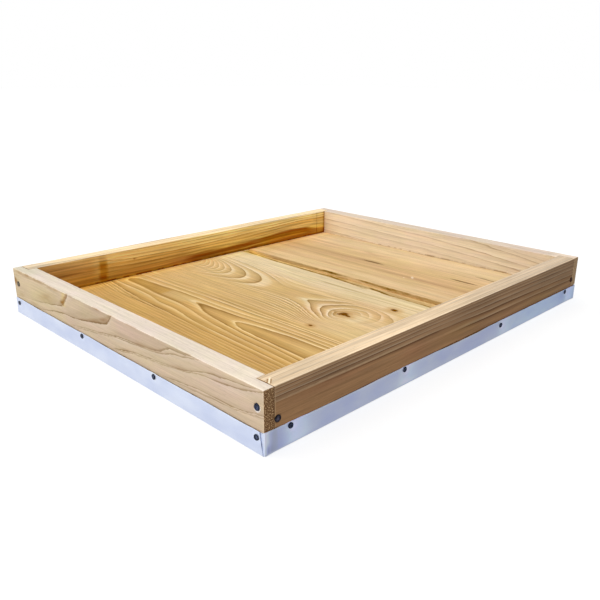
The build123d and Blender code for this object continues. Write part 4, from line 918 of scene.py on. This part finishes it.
def metal_sheet(name):
    g = Graph(name)
    coord = g.node("ShaderNodeTexCoord").outputs["Object"]
    # rolled streaks, round the flanges and along the flat roof, where the bloom is calmer
    flat = g.attr("flat")
    x, y, z = g.split(coord)
    run = g.node("ShaderNodeCombineXYZ")
    g.put(run.inputs[0], g.mul(x, g.math("MULTIPLY_ADD", flat, 640.0, 60.0)))
    g.put(run.inputs[1], g.mul(y, g.math("MULTIPLY_ADD", flat, -48.0, 60.0)))
    g.put(run.inputs[2], g.mul(z, 900.0))
    brushed = g.noise(run.outputs[0], (1.0, 1.0, 1.0), 3.0, 0.6)
    cloud = g.noise(coord, (22.0, 22.0, 40.0), 3.0)
    cloud = g.add(0.5, g.mul(g.off(cloud, 1.0), g.math("MULTIPLY_ADD", flat, -0.6, 1.0)))
    grit = g.noise(coord, (900.0, 900.0, 900.0), 2.0)
    # the lavender blue of both colours paints a bluish sky reflected in the sheet
    col = g.mix(g.ramp(cloud, 0.3, 0.7), rgb(212, 222, 248), rgb(228, 236, 255))
    col = g.gain(col, g.add(1.0, g.off(brushed, 0.06), g.off(grit, 0.05)))
    col = g.mix(1.0, col, g.attr("cast", True), "MULTIPLY")
    g.put(g.bsdf.inputs["Base Color"], col)
    g.bsdf.inputs["Metallic"].default_value = 0.7
    g.put(g.bsdf.inputs["Roughness"], g.add(0.44, g.off(cloud, 0.16), g.off(brushed, 0.12)))
    g.put(g.bsdf.inputs["Normal"], g.bump(g.add(g.mul(brushed, 0.4), g.mul(cloud, 3.0)), 0.00012, 0.6))
    return g.mat


def nail_metal(name, worn=True):
    g = Graph(name)
    coord = g.node("ShaderNodeTexCoord").outputs["Object"]
    cloud = g.noise(coord, (420.0, 420.0, 420.0), 3.0)
    grit = g.noise(coord, (1600.0, 1600.0, 1600.0), 2.0)
    col = g.mix(g.ramp(cloud, 0.35, 0.7), rgb(30, 36, 54), rgb(66, 76, 104))
    col = g.mix(g.mul(g.ramp(grit, 0.6, 0.8), 0.4), col, rgb(58, 54, 60))
    # the cast attribute: a painted highlight in each head's middle, and rust brown on some heads
    if worn:
        col = g.mix(1.0, col, g.attr("cast", True), "MULTIPLY")
    g.put(g.bsdf.inputs["Base Color"], col)
    g.bsdf.inputs["Metallic"].default_value = 0.7
    g.bsdf.inputs["Specular IOR Level"].default_value = 0.2
    g.put(g.bsdf.inputs["Roughness"], g.add(0.42, g.off(cloud, 0.2), g.off(grit, 0.15)))
    g.put(g.bsdf.inputs["Normal"], g.bump(g.add(cloud, g.mul(grit, 0.5)), 0.00008, 0.7))
    return g.mat


m_left = wood("left_rail_wood", (228, 204, 171), (236, 215, 186), (146, 116, 64), stain_and_shade=(186, 150, 84), late_from=0.55, late_pow=1.6, line=0.72, line_mm=1.7, even=0.8, seed=3.0, streaky=0.3, fibre=0.5, end_dark=(116, 82, 50), end_pale=(250, 206, 152), speck_col=(255, 246, 232), gloss=0.12)
m_right = wood("right_rail_wood", (224, 200, 165), (232, 211, 180), (160, 124, 86), late_from=0.5, late_pow=1.5, line=0.6, line_from=0.82, even=0.8, seed=11.0, streaky=0.4, fibre=0.6, end_dark=(160, 130, 96), end_pale=(236, 206, 168), gloss=0.12)
m_front = wood("front_rail_wood", (230, 202, 166), (255, 244, 222), (120, 86, 54), late_from=0.4, late_pow=1.2, line=0.5, line_from=0.75, even=0.8, seed=21.0, jag=0.3, streaky=0.8, fibre=0.7, speck_col=(255, 238, 206), gloss=0.1)
m_rear = wood("rear_rail_wood", (240, 203, 130), (250, 226, 164), (168, 116, 44), stain_and_shade=(150, 90, 1), late_from=0.2, even=0.7, seed=31.0, jag=0.5, streaky=1.3, fibre=0.95, gloss=0.0)
m_wide = wood("wide_plank_wood", (224, 190, 133), (250, 230, 190), (136, 98, 40), stain_and_shade=(176, 154, 74), line=0.45, even=0.6, seed=41.0, jag=0.5, streaky=0.54, fibre=0.7, gloss=0.0)
m_narrow = wood("narrow_plank_wood", (226, 192, 141), (240, 214, 168), (164, 124, 72), stain_and_shade=(176, 154, 74), even=0.2, seed=51.0, streaky=0.44, fibre=0.62, bandy=0.34, speck_col=(255, 238, 200), gloss=0.0)
m_sheet = metal_sheet("sheet_metal_satin")
m_nail = nail_metal("nail_steel_dark")
m_wire = nail_metal("nail_steel_wire", False)

# ------------------------------------------------------------------ boards
LEFT_CORNER = [(-223.5, 40.6), (220.8, 39.2)]
RIGHT_CORNER = [(-222.4, 39.8), (222.0, 40.2)]
FRONT_CORNER = [(-264.9, 28.4), (265.8, 28.6)]
REAR_CORNER = [(-265.4, 29.0), (264.6, 28.2)]
LEFT_FLANGE = [(-224.1, 14.8), (-78.7, 17.0), (60.3, 17.3), (222.2, 14.4)]
RIGHT_FLANGE = [(-223.0, 14.6), (-71.0, 16.9), (66.0, 17.1), (223.6, 14.7)]
FRONT_FLANGE = [(-251.8, 17.4), (-99.6, 17.2), (82.7, 13.6), (249.2, 15.6)]
REAR_FLANGE = [(-250.0, 16.8), (-96.0, 17.0), (79.0, 13.6), (251.0, 16.2)]
HEAD_R, SEAT_D = 3.2, 0.75


def middles(a):
    return 0.5 * (a[1:] + a[:-1])


def end_rail(sign):
    lo, hi = sorted((sign * HX, sign * IN_X))
    corner = LEFT_CORNER if sign < 0 else RIGHT_CORNER
    X = grid(lo, hi, 2.6, keep=(sign * TONGUE_X,))
    Y = grid(-HY, HY, 2.2, keep=(-IN_Y, IN_Y), fine=[(c[0], 5.4, 0.6) for c in corner])
    Z = grid(Z_RIM, Z_TOP, 1.3, fine=[(40.0, 5.8, 0.6)])
    mx, my = middles(X), middles(Y)
    notch = (np.abs(my)[None, :] > IN_Y) & (np.abs(mx)[:, None] < TONGUE_X)
    solid = np.repeat(~notch[:, :, None], len(Z) - 1, 2)
    seats = [((sign * HX, y, z), 0, HEAD_R, SEAT_D) for y, z in corner]
    return X, Y, Z, solid, seats


X, Y, Z, solid, seats = end_rail(-1)
left = board("rim_left_end", "left_end_rail", X, Y, Z, solid, look_left, m_left, seats=seats, wear=0.8, seed=100)
X, Y, Z, solid, seats = end_rail(1)
right = board("rim_right_end", "right_end_rail", X, Y, Z, solid, look_right, m_right, seats=seats, wear=0.6, seed=200)


def side_rail(sign):
    lo, hi = sorted((sign * HY, sign * IN_Y))
    corner = FRONT_CORNER if sign < 0 else REAR_CORNER
    X = grid(-TONGUE_X, TONGUE_X, 2.8, keep=(239.6,), fine=[(c[0], 5.4, 0.6) for c in corner])
    Y = grid(lo, hi, 2.6, fine=[(-221.5, 5.6, 0.7)] if sign < 0 else ())
    Z = grid(Z_RIM, Z_TOP, 1.2, fine=[(28.5, 5.6, 0.6)])
    solid = np.ones((len(X) - 1, len(Y) - 1, len(Z) - 1), bool)
    seats = [((x, sign * HY, z), 1, HEAD_R, SEAT_D) for x, z in corner]
    return X, Y, Z, solid, seats


X, Y, Z, solid, seats = side_rail(-1)
front = board("rim_front_side", "front_side_rail", X, Y, Z, solid, look_front, m_front, seats=seats, wear=0.6, seed=300)
X, Y, Z, solid, seats = side_rail(1)
rear = board("rim_rear_side", "rear_side_rail", X, Y, Z, solid, look_rear, m_rear, seats=seats, wear=0.6, seed=400)


def wide_warp(P):
    """The lip's shoulder runs slightly aslant and a little ragged."""
    P = P.copy()
    x, y, z = P.T
    k = np.where(x < SEAM_MID, np.clip((x - 20) / (SEAM_MID - 20), 0, 1), np.clip((LIP_END - x) / (LIP_END - SEAM_MID), 0, 1))
    ragged = 0.9 * rough(y / 7, 0, 0, 501) * step(4, 0, np.abs(x - SEAM_MID))
    P[:, 0] = x + k * 4.5 * y / HY + ragged * (z > Z_RIM - 2)
    return P


X = np.concatenate([np.linspace(-HX, -IN_X, 6)[:-1], grid(-IN_X, LIP_END, 2.0, keep=(SEAM_MID, 83.0), fine=[(75.0, 6.0, 1.0)])])
Y = np.concatenate([np.linspace(-HY, -IN_Y, 6)[:-1], np.linspace(-IN_Y, IN_Y, 176), np.linspace(IN_Y, HY, 6)[1:]])
Z = np.array([0.5, 1.0, 4.0, 9.0, 14.0, Z_CHANNEL, 15.6, 17.0, 18.4, 19.05, Z_RIM])
solid = np.ones((len(X) - 1, len(Y) - 1, len(Z) - 1), bool)
covered = (np.abs(middles(Y)) > IN_Y)[None, :, None] & (middles(X)[:, None, None] < 83.0)
solid &= ~((middles(X)[:, None, None] > SEAM_MID) & (middles(Z)[None, None, :] > Z_CHANNEL) & ~covered)
wide = board("top_wide_plank", "wide_top_plank", X, Y, Z, solid, look_wide, m_wide, warp=wide_warp, wear=0.25, seed=500)

X = np.concatenate([grid(SEAM_FAR, IN_X, 2.2, keep=(97.0,)), np.linspace(IN_X, HX, 6)[1:]])
Z = np.array([0.5, 1.0, 4.0, 9.0, 13.0, 14.5, 15.06, 15.7, 16.6, 17.6, 18.4, 19.05, Z_RIM])
solid = np.ones((len(X) - 1, len(Y) - 1, len(Z) - 1), bool)
solid &= ~((middles(X)[:, None, None] < 97.0) & (middles(Z)[None, None, :] < 15.06))
narrow = board("top_narrow_plank", "narrow_top_plank", X, Y, Z, solid, look_narrow, m_narrow, wear=0.3, seed=600)


# ------------------------------------------------------------------ roof pan, one folded sheet
SHEET, R_BEND = 0.5, 0.9
END_X, TAB_X, SIDE_Y = 280.6, 280.0, 232.5
END_FOOT = SIDE_Y - 1.5           # an end flange's half width at its bend
TAB_START = TAB_X - R_BEND


def press(s, h, nails, reach=9.0):
    """0 at a nail, 1 away from it."""
    out = np.ones(np.broadcast(s, h).shape)
    for a, b in nails:
        out = np.minimum(out, step(2.2, reach, np.hypot(s - a, (h - b) * 0.9)))
    return out


def flange(S, nails, top, seed, foot_z=0.0):
    """A flange's outline from the bend upwards: rows of (out, z) for every column in S."""
    arc = np.radians([0, 18, 36, 54, 72, 90])
    rise = np.concatenate([np.linspace(R_BEND, 19.0, 15)[1:], [19.6, 20.0]])
    rows = []
    for a in arc:
        rows.append((R_BEND * np.sin(a) - R_BEND + 0 * S, R_BEND - R_BEND * np.cos(a) + 0 * S))
    for h in rise:
        z = R_BEND + (h - R_BEND) * (top - R_BEND) / (20.0 - R_BEND)
        lift = (h - R_BEND) / (20.0 - R_BEND)
        bulge = 0.30 + 0.34 * rough(S / 38, h / 30, 0, seed) + 0.22 * rough(S / 11, h / 9, 0, seed + 1)
        out = np.maximum(bulge, 0.02) * step(0, 0.5, lift) * press(S, z, nails)
        rows.append((out, z))
    return rows


def sheet_grid(points, flip=False):
    points = np.asarray(points)
    m, n = points.shape[:2]
    i, j = np.meshgrid(np.arange(m - 1), np.arange(n - 1), indexing="ij")
    a = (i * n + j).ravel()
    q = np.stack([a, a + 1, a + n + 1, a + n], 1)
    return points.reshape(-1, 3), q[:, ::-1] if flip else q


def nail_lines(a, b, pitch, nails, keep):
    return grid(a, b, pitch, keep=keep, fine=[(c, 6.0, 1.2) for c in nails])


XB = nail_lines(-(END_X - R_BEND), END_X - R_BEND, 6.0, [p[0] for p in FRONT_FLANGE + REAR_FLANGE], (-TAB_START, -278.0, -276.6, -275.2, -273.8, -272.0, -269.5, TAB_START))
YB = nail_lines(-(SIDE_Y - R_BEND), SIDE_Y - R_BEND, 6.0, [p[0] for p in LEFT_FLANGE + RIGHT_FLANGE], (-END_FOOT, END_FOOT))
grids = []
gx, gy = np.meshgrid(XB, YB, indexing="ij")
grids.append(sheet_grid(np.stack([gx, gy, 0 * gx], -1)))


def front_top(x):
    return curve(x, [-281, -240, -190, -130, -50, 0, 30, 60, 110, 200, 281], [21.2, 20.5, 19.7, 20.2, 19.6, 18.6, 18.6, 19.4, 19.5, 19.1, 18.5])


def left_top(y):
    return 20.75 + 0.45 * rough(y / 55, 0, 0, 701, 2)


for sign, nails, top, seed in ((-1, FRONT_FLANGE, front_top, 710), (1, REAR_FLANGE, lambda x: 19.9 + 0.6 * rough(x / 60, 0, 0, 702, 2), 720)):
    S = XB[np.abs(XB) <= TAB_START + 1e-6]
    rows = flange(S, nails, top(S), seed)
    # both ends run into the folded corners without a bulge
    calm = step(0, 12, TAB_START - np.abs(S))
    pts = np.array([np.stack([S, sign * (SIDE_Y + o * calm), z], 1) for o, z in rows])
    grids.append(sheet_grid(pts, flip=sign > 0))
    for end in (-1, 1):
        column = pts[:, 0 if end < 0 else -1]
        tab = [column]
        for a in np.radians([22.5, 45, 67.5, 90]):
            tab.append(np.stack([np.full(len(column), end * (TAB_START + R_BEND * np.sin(a))),
                                 np.full(len(column), sign * (SIDE_Y - R_BEND + R_BEND * np.cos(a))), column[:, 2]], 1))
        for t in (3, 6, 10, 15, 20, 25, 29.5):
            tab.append(np.stack([np.full(len(column), end * TAB_X), np.full(len(column), sign * (SIDE_Y - R_BEND - t)),
                                 np.minimum(column[:, 2], 20.4 - 2.0 * float(step(4, 12, t)))], 1))
        tab = np.array(tab)[:, 4:]
        grids.append(sheet_grid(tab, flip=(sign * end) < 0))

for sign, nails, top, seed in ((-1, LEFT_FLANGE, left_top, 730), (1, RIGHT_FLANGE, lambda y: 20.0 + 0.6 * rough(y / 60, 0, 0, 703, 2), 740)):
    S = YB[np.abs(YB) <= END_FOOT + 1e-6]
    rows = flange(S, nails, top(S), seed)
    pts = []
    for o, z in rows:
        slant = 1 - 3.3 * np.clip(z - R_BEND, 0, None) / 19.1 / END_FOOT
        pts.append(np.stack([sign * (END_X + o), S * slant, z], 1))
    grids.append(sheet_grid(np.array(pts), flip=sign < 0))

P = np.concatenate([g[0] for g in grids])
offset = np.cumsum([0] + [len(g[0]) for g in grids[:-1]])
quads = np.concatenate([g[1] + o for g, o in zip(grids, offset)])
_, first, inverse = np.unique(np.round(P, 3), axis=0, return_index=True, return_inverse=True)
P, quads = P[first], inverse.reshape(-1)[quads]
pan = mesh_object("roof_sheet", P, quads)
# painted reflections and shade on the sheet, carried by the cast attribute: the front flange bluer, brighter and darker
# by turns along its length and bluer to the right, with painted glints, painted highlights along its top edge and
# beside its nails, painted shade on the fold at its left corner, and painted highlights round the left flange's nails
x, y, z = P.T
cool = step(-SIDE_Y + 0.6, -SIDE_Y + 0.1, y) * step(0.6, 2.0, z)
along = curve(x, [-281, -278, -277, -276, -275, -274, -273, -272, -270, -268, -266, -263, -260, -257, -254, -249, -243, -236, -225, -150, -114, -97, -84, -60, -30, 40, 72, 90, 104, 130, 228, 236, 242, 250, 257, 264, 274, 281],
              [1.42, 1.38, 1.28, 1.15, 1.01, .92, .85, .80, .78, .79, .815, .85, .90, .97, 1.03, 1.12, 1.11, 1.05, .99, .98, 1.04, 1.30, 1.22, 1.07, 1.02, .96, .98, 1.14, 1.08, 1.03, 1.02, .95, .88, .92, 1.13, 1.15, 1.06, 1.02])
shine = cool * (along - 1 - (0.16 * step(-268, -276, x) + 0.30 * bump(-276.3, 2.6, x)) * step(12, 5, z) + 0.04 * rough(x / 45, z / 14, 0, 705) + 0.30 * step(1.3, 0.2, front_top(x) - z))
for a, h in FRONT_FLANGE:
    shine = shine + cool * (0.08 * step(7.0, 3.4, np.hypot(x - a - 0.8, z - h + 1.0)) + 0.30 * step(3.8, 1.0, np.hypot((x - a - 3.4) * 0.9, z - h + 2.6)))
for a, h in LEFT_FLANGE:
    shine = shine + 0.08 * (x < -END_X + 1.5) * step(6.5, 3.4, np.hypot(y - a, z - h))
right_part = cool * step(40, 170, x)
glint = cool * (1.4 * bump(-245, 24, x) + 1.1 * bump(264, 17, x) + 0.6 * bump(90, 18, x) + 0.5 * bump(-94, 18, x))
fold_shade = cool * bump(-269, 9, x)
put(pan, "cast", (1 + shine)[:, None] * np.stack([1 + 0.01 * cool + 0.06 * glint, 1 + 0.02 * cool + 0.11 * right_part + 0.12 * glint, 1 + 0.28 * cool + 0.36 * right_part + 0.44 * glint - 0.16 * fold_shade], 1))
put(pan, "flat", np.where(z < 0.05, 1.0, 0.0))
thick = pan.modifiers.new("sheet_thickness", "SOLIDIFY")
thick.thickness = SHEET * 0.001
thick.offset = -1.0
pan.data.materials.append(m_sheet)
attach(pan, "root")
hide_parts("roof_pan")


# ------------------------------------------------------------------ nails
def lathe(profile, segments):
    """Closed body of revolution about Z; the profile runs from the axis to the axis."""
    ang = np.linspace(0, 2 * np.pi, segments, endpoint=False)
    pts = [np.array([[0, 0, profile[0][1]]])]
    for r, h in profile[1:-1]:
        pts.append(np.stack([r * np.cos(ang), r * np.sin(ang), np.full(segments, h)], 1))
    pts.append(np.array([[0, 0, profile[-1][1]]]))
    return pts


def nail_body(head_r, head_t, shank_r, length, seed):
    profile = [(0, 0.70), (0.22, 0.70), (0.45, 0.76), (0.62, 0.92), (0.80, 1.0), (0.92, 0.93), (0.985, 0.70), (1.0, 0.45), (0.985, 0.12), (0.95, 0.0)]
    rings = [(r * head_r, h * head_t) for r, h in profile]
    rings += [(shank_r * 1.5, -0.05), (shank_r, -0.6), (shank_r, -length + 5 * shank_r), (shank_r * 0.55, -length + 2 * shank_r), (0, -length)]
    seg = 32
    pts = lathe(rings, seg)
    V = np.concatenate(pts)
    ang = np.arctan2(V[:, 1], V[:, 0])
    rad = np.hypot(V[:, 0], V[:, 1])
    # hammered, not quite round
    k = 1 + 0.035 * np.sin(2 * ang + seed) + 0.02 * np.sin(3 * ang + 1.7 * seed)
    k = np.where(rad > shank_r * 1.6, k, 1.0)
    V[:, :2] *= k[:, None]
    V[:, 2] += np.where((V[:, 2] > 0.2 * head_t), 0.05 * head_t * np.sin(1.3 * V[:, 0] + 2.1 * V[:, 1] + seed), 0)
    faces = []
    m = len(rings)
    start = [0] + [1 + seg * i for i in range(m - 2)] + [1 + seg * (m - 2)]
    for s in range(seg):
        t = (s + 1) % seg
        faces.append((start[0], start[1] + s, start[1] + t))
        for i in range(1, m - 2):
            faces.append((start[i] + s, start[i + 1] + s, start[i + 1] + t, start[i] + t))
        faces.append((start[m - 2] + s, start[m - 1], start[m - 2] + t))
    return V, faces


def nail_set(name, node, spots, normal, head_r, head_t, shank_r, length, base, seed, casts=()):
    """Nails with their heads' undersides at `base` along the normal; spots are 3-D points on the face."""
    verts, faces, head_highlight_and_rust = [], [], []
    normal = Vector(normal)
    for k, spot in enumerate(spots):
        V, F = nail_body(head_r, head_t, shank_r, length, seed + 2.3 * k)
        lean = Matrix.Rotation(math.radians(3.0 * math.sin(seed * 3.1 + k * 1.9)), 4, "X") @ Matrix.Rotation(math.radians(3.0 * math.cos(seed * 1.3 + k * 2.7)), 4, "Y")
        turn = normal.to_track_quat("Z", "Y").to_matrix().to_4x4()
        M = Matrix.Translation(Vector(spot) + normal * base) @ turn @ lean
        off = len(verts)
        verts += [tuple((M @ Vector(v)) * 0.001) for v in V]
        cast = casts[k] if k < len(casts) else (1.0, 1.0, 1.0)
        # each head lighter in its middle, a painted highlight, times its cast, which is rust brown on some heads
        head_highlight_and_rust.append((0.65 + 0.9 * step(0.72, 0.35, np.hypot(V[:, 0], V[:, 1]) / head_r))[:, None] * np.array(cast))
        faces += [tuple(i + off for i in f) for f in F]
    mesh = bpy.data.meshes.new(name)
    mesh.from_pydata(verts, [], faces)
    mesh.validate()
    mesh.polygons.foreach_set("use_smooth", np.ones(len(mesh.polygons), bool))
    obj = bpy.data.objects.new(name, mesh)
    bpy.context.scene.collection.objects.link(obj)
    mesh.materials.append(m_nail)
    put(obj, "cast", np.concatenate(head_highlight_and_rust))
    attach(obj, "root")
    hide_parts(node)
    return obj


FLANGE_NAIL = dict(head_r=2.8, head_t=0.9, shank_r=0.8, length=21.0, base=0.0)
CORNER_NAIL = dict(head_r=3.15, head_t=1.2, shank_r=1.3, length=43.5, base=-0.7)
nail_set("nails_flange_left", "left_flange_nails", [(-END_X, y, z) for y, z in LEFT_FLANGE], (-1, 0, 0), seed=1.0, **FLANGE_NAIL)
nail_set("nails_flange_right", "right_flange_nails", [(END_X, y, z) for y, z in RIGHT_FLANGE], (1, 0, 0), seed=2.0, **FLANGE_NAIL)
nail_set("nails_flange_front", "front_flange_nails", [(x, -SIDE_Y, z) for x, z in FRONT_FLANGE], (0, -1, 0), seed=3.0, **FLANGE_NAIL)
nail_set("nails_flange_rear", "rear_flange_nails", [(x, SIDE_Y, z) for x, z in REAR_FLANGE], (0, 1, 0), seed=4.0, **FLANGE_NAIL)
nail_set("nails_corner_left", "left_corner_nails", [(-HX, y, z) for y, z in LEFT_CORNER], (-1, 0, 0), seed=5.0, casts=((1.0, 0.95, 0.95), (3.0, 1.9, 0.7)), **CORNER_NAIL)
nail_set("nails_corner_right", "right_corner_nails", [(HX, y, z) for y, z in RIGHT_CORNER], (1, 0, 0), seed=6.0, **CORNER_NAIL)
nail_set("nails_corner_front", "front_corner_nails", [(x, -HY, z) for x, z in FRONT_CORNER], (0, -1, 0), seed=7.0, casts=((1.7, 1.15, 0.85), (2.6, 0.6, 0.15)), **CORNER_NAIL)
nail_set("nails_corner_rear", "rear_corner_nails", [(x, HY, z) for x, z in REAR_CORNER], (0, 1, 0), seed=8.0, **CORNER_NAIL)

for node in ("wide_plank_nails", "narrow_plank_nails"):
    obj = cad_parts[node]
    obj.data.materials.clear()
    obj.data.materials.append(m_wire)

# ------------------------------------------------------------------ floor, light and camera
floor_mesh = bpy.data.meshes.new("studio_floor")
floor_mesh.from_pydata([(-12, -12, 0), (12, -12, 0), (12, 12, 0), (-12, 12, 0)], [], [(0, 1, 2, 3)])
floor = bpy.data.objects.new("studio_floor", floor_mesh)
bpy.context.scene.collection.objects.link(floor)
floor.location.z = -0.0003
g = Graph("studio_floor_white")
tint = g.noise(g.node("ShaderNodeTexCoord").outputs["Object"], (1.2, 1.2, 1.2), 1.0)
g.put(g.bsdf.inputs["Base Color"], g.mix(tint, rgb(172, 172, 172), rgb(176, 176, 176)))
g.bsdf.inputs["Roughness"].default_value = 0.9
g.bsdf.inputs["Specular IOR Level"].default_value = 0.1
g.bsdf.inputs["Emission Color"].default_value = (1.0, 1.0, 1.0, 1.0)
g.bsdf.inputs["Emission Strength"].default_value = 0.66
floor_mesh.materials.append(g.mat)
floor.visible_diffuse = False
floor.visible_glossy = False
floor.visible_shadow = False

world = bpy.data.worlds.new("studio_light")
bpy.context.scene.world = world
world.use_nodes = True
tree = world.node_tree
tree.nodes.clear()
out = tree.nodes.new("ShaderNodeOutputWorld")
coord = tree.nodes.new("ShaderNodeTexCoord")


def sky(op, x, y=0.0):
    """One step of the light's brightness by direction."""
    n = tree.nodes.new("ShaderNodeMath")
    n.operation = op
    for socket, value in zip(n.inputs, (x, y)):
        if isinstance(value, bpy.types.NodeSocket):
            tree.links.new(value, socket)
        else:
            socket.default_value = value
    return n.outputs[0]


axes = tree.nodes.new("ShaderNodeSeparateXYZ")
tree.links.new(coord.outputs["Generated"], axes.inputs[0])
SKY_BASE, SKY_UP, SKY_X, SKY_Y = 0.50, 0.75, -0.65, 0.34
side = sky("ADD", sky("MULTIPLY", axes.outputs[0], SKY_X), sky("MULTIPLY", axes.outputs[1], SKY_Y))
low = tree.nodes.new("ShaderNodeMapRange")
low.interpolation_type = "SMOOTHSTEP"
for socket, value in zip(low.inputs, (axes.outputs[2], -0.3, 0.2, 0.33, 1.0)):
    if isinstance(value, bpy.types.NodeSocket):
        tree.links.new(value, socket)
    else:
        socket.default_value = value
level = sky("ADD", sky("MULTIPLY", side, low.outputs[0]), sky("MULTIPLY", sky("MAXIMUM", axes.outputs[2], 0.0), SKY_UP))
under = sky("MULTIPLY", sky("MAXIMUM", sky("MULTIPLY", axes.outputs[2], -3.0), 0.0), 1.0)
level = sky("ADD", level, sky("MULTIPLY", sky("MINIMUM", under, 1.0), 0.16))
level = sky("MAXIMUM", sky("ADD", level, SKY_BASE), 0.05)
glow = tree.nodes.new("ShaderNodeBackground")
glow.inputs["Color"].default_value = (1.0, 1.0, 1.0, 1.0)
tree.links.new(level, glow.inputs["Strength"])
white = tree.nodes.new("ShaderNodeBackground")
white.inputs["Color"].default_value = (1.0, 1.0, 1.0, 1.0)
white.inputs["Strength"].default_value = 1.0
path = tree.nodes.new("ShaderNodeLightPath")
choose = tree.nodes.new("ShaderNodeMixShader")
tree.links.new(path.outputs["Is Camera Ray"], choose.inputs[0])
tree.links.new(glow.outputs[0], choose.inputs[1])
tree.links.new(white.outputs[0], choose.inputs[2])
tree.links.new(choose.outputs[0], out.inputs[0])

cam = bpy.data.cameras.new("photo_camera")
cam.sensor_width = 36.0
cam.lens = 39.277
cam.clip_start, cam.clip_end = 0.05, 60.0
camera = bpy.data.objects.new("photo_camera", cam)
bpy.context.scene.collection.objects.link(camera)
camera.matrix_world = Matrix(((0.710256, 0.225918, -0.666706, -0.574749),
                              (-0.703927, 0.234267, -0.670526, -0.567466),
                              (0.004703, 0.945558, 0.325420, 0.284096),
                              (0, 0, 0, 1)))
bpy.context.scene.camera = camera
bpy.context.scene.view_settings.view_transform = "Standard"
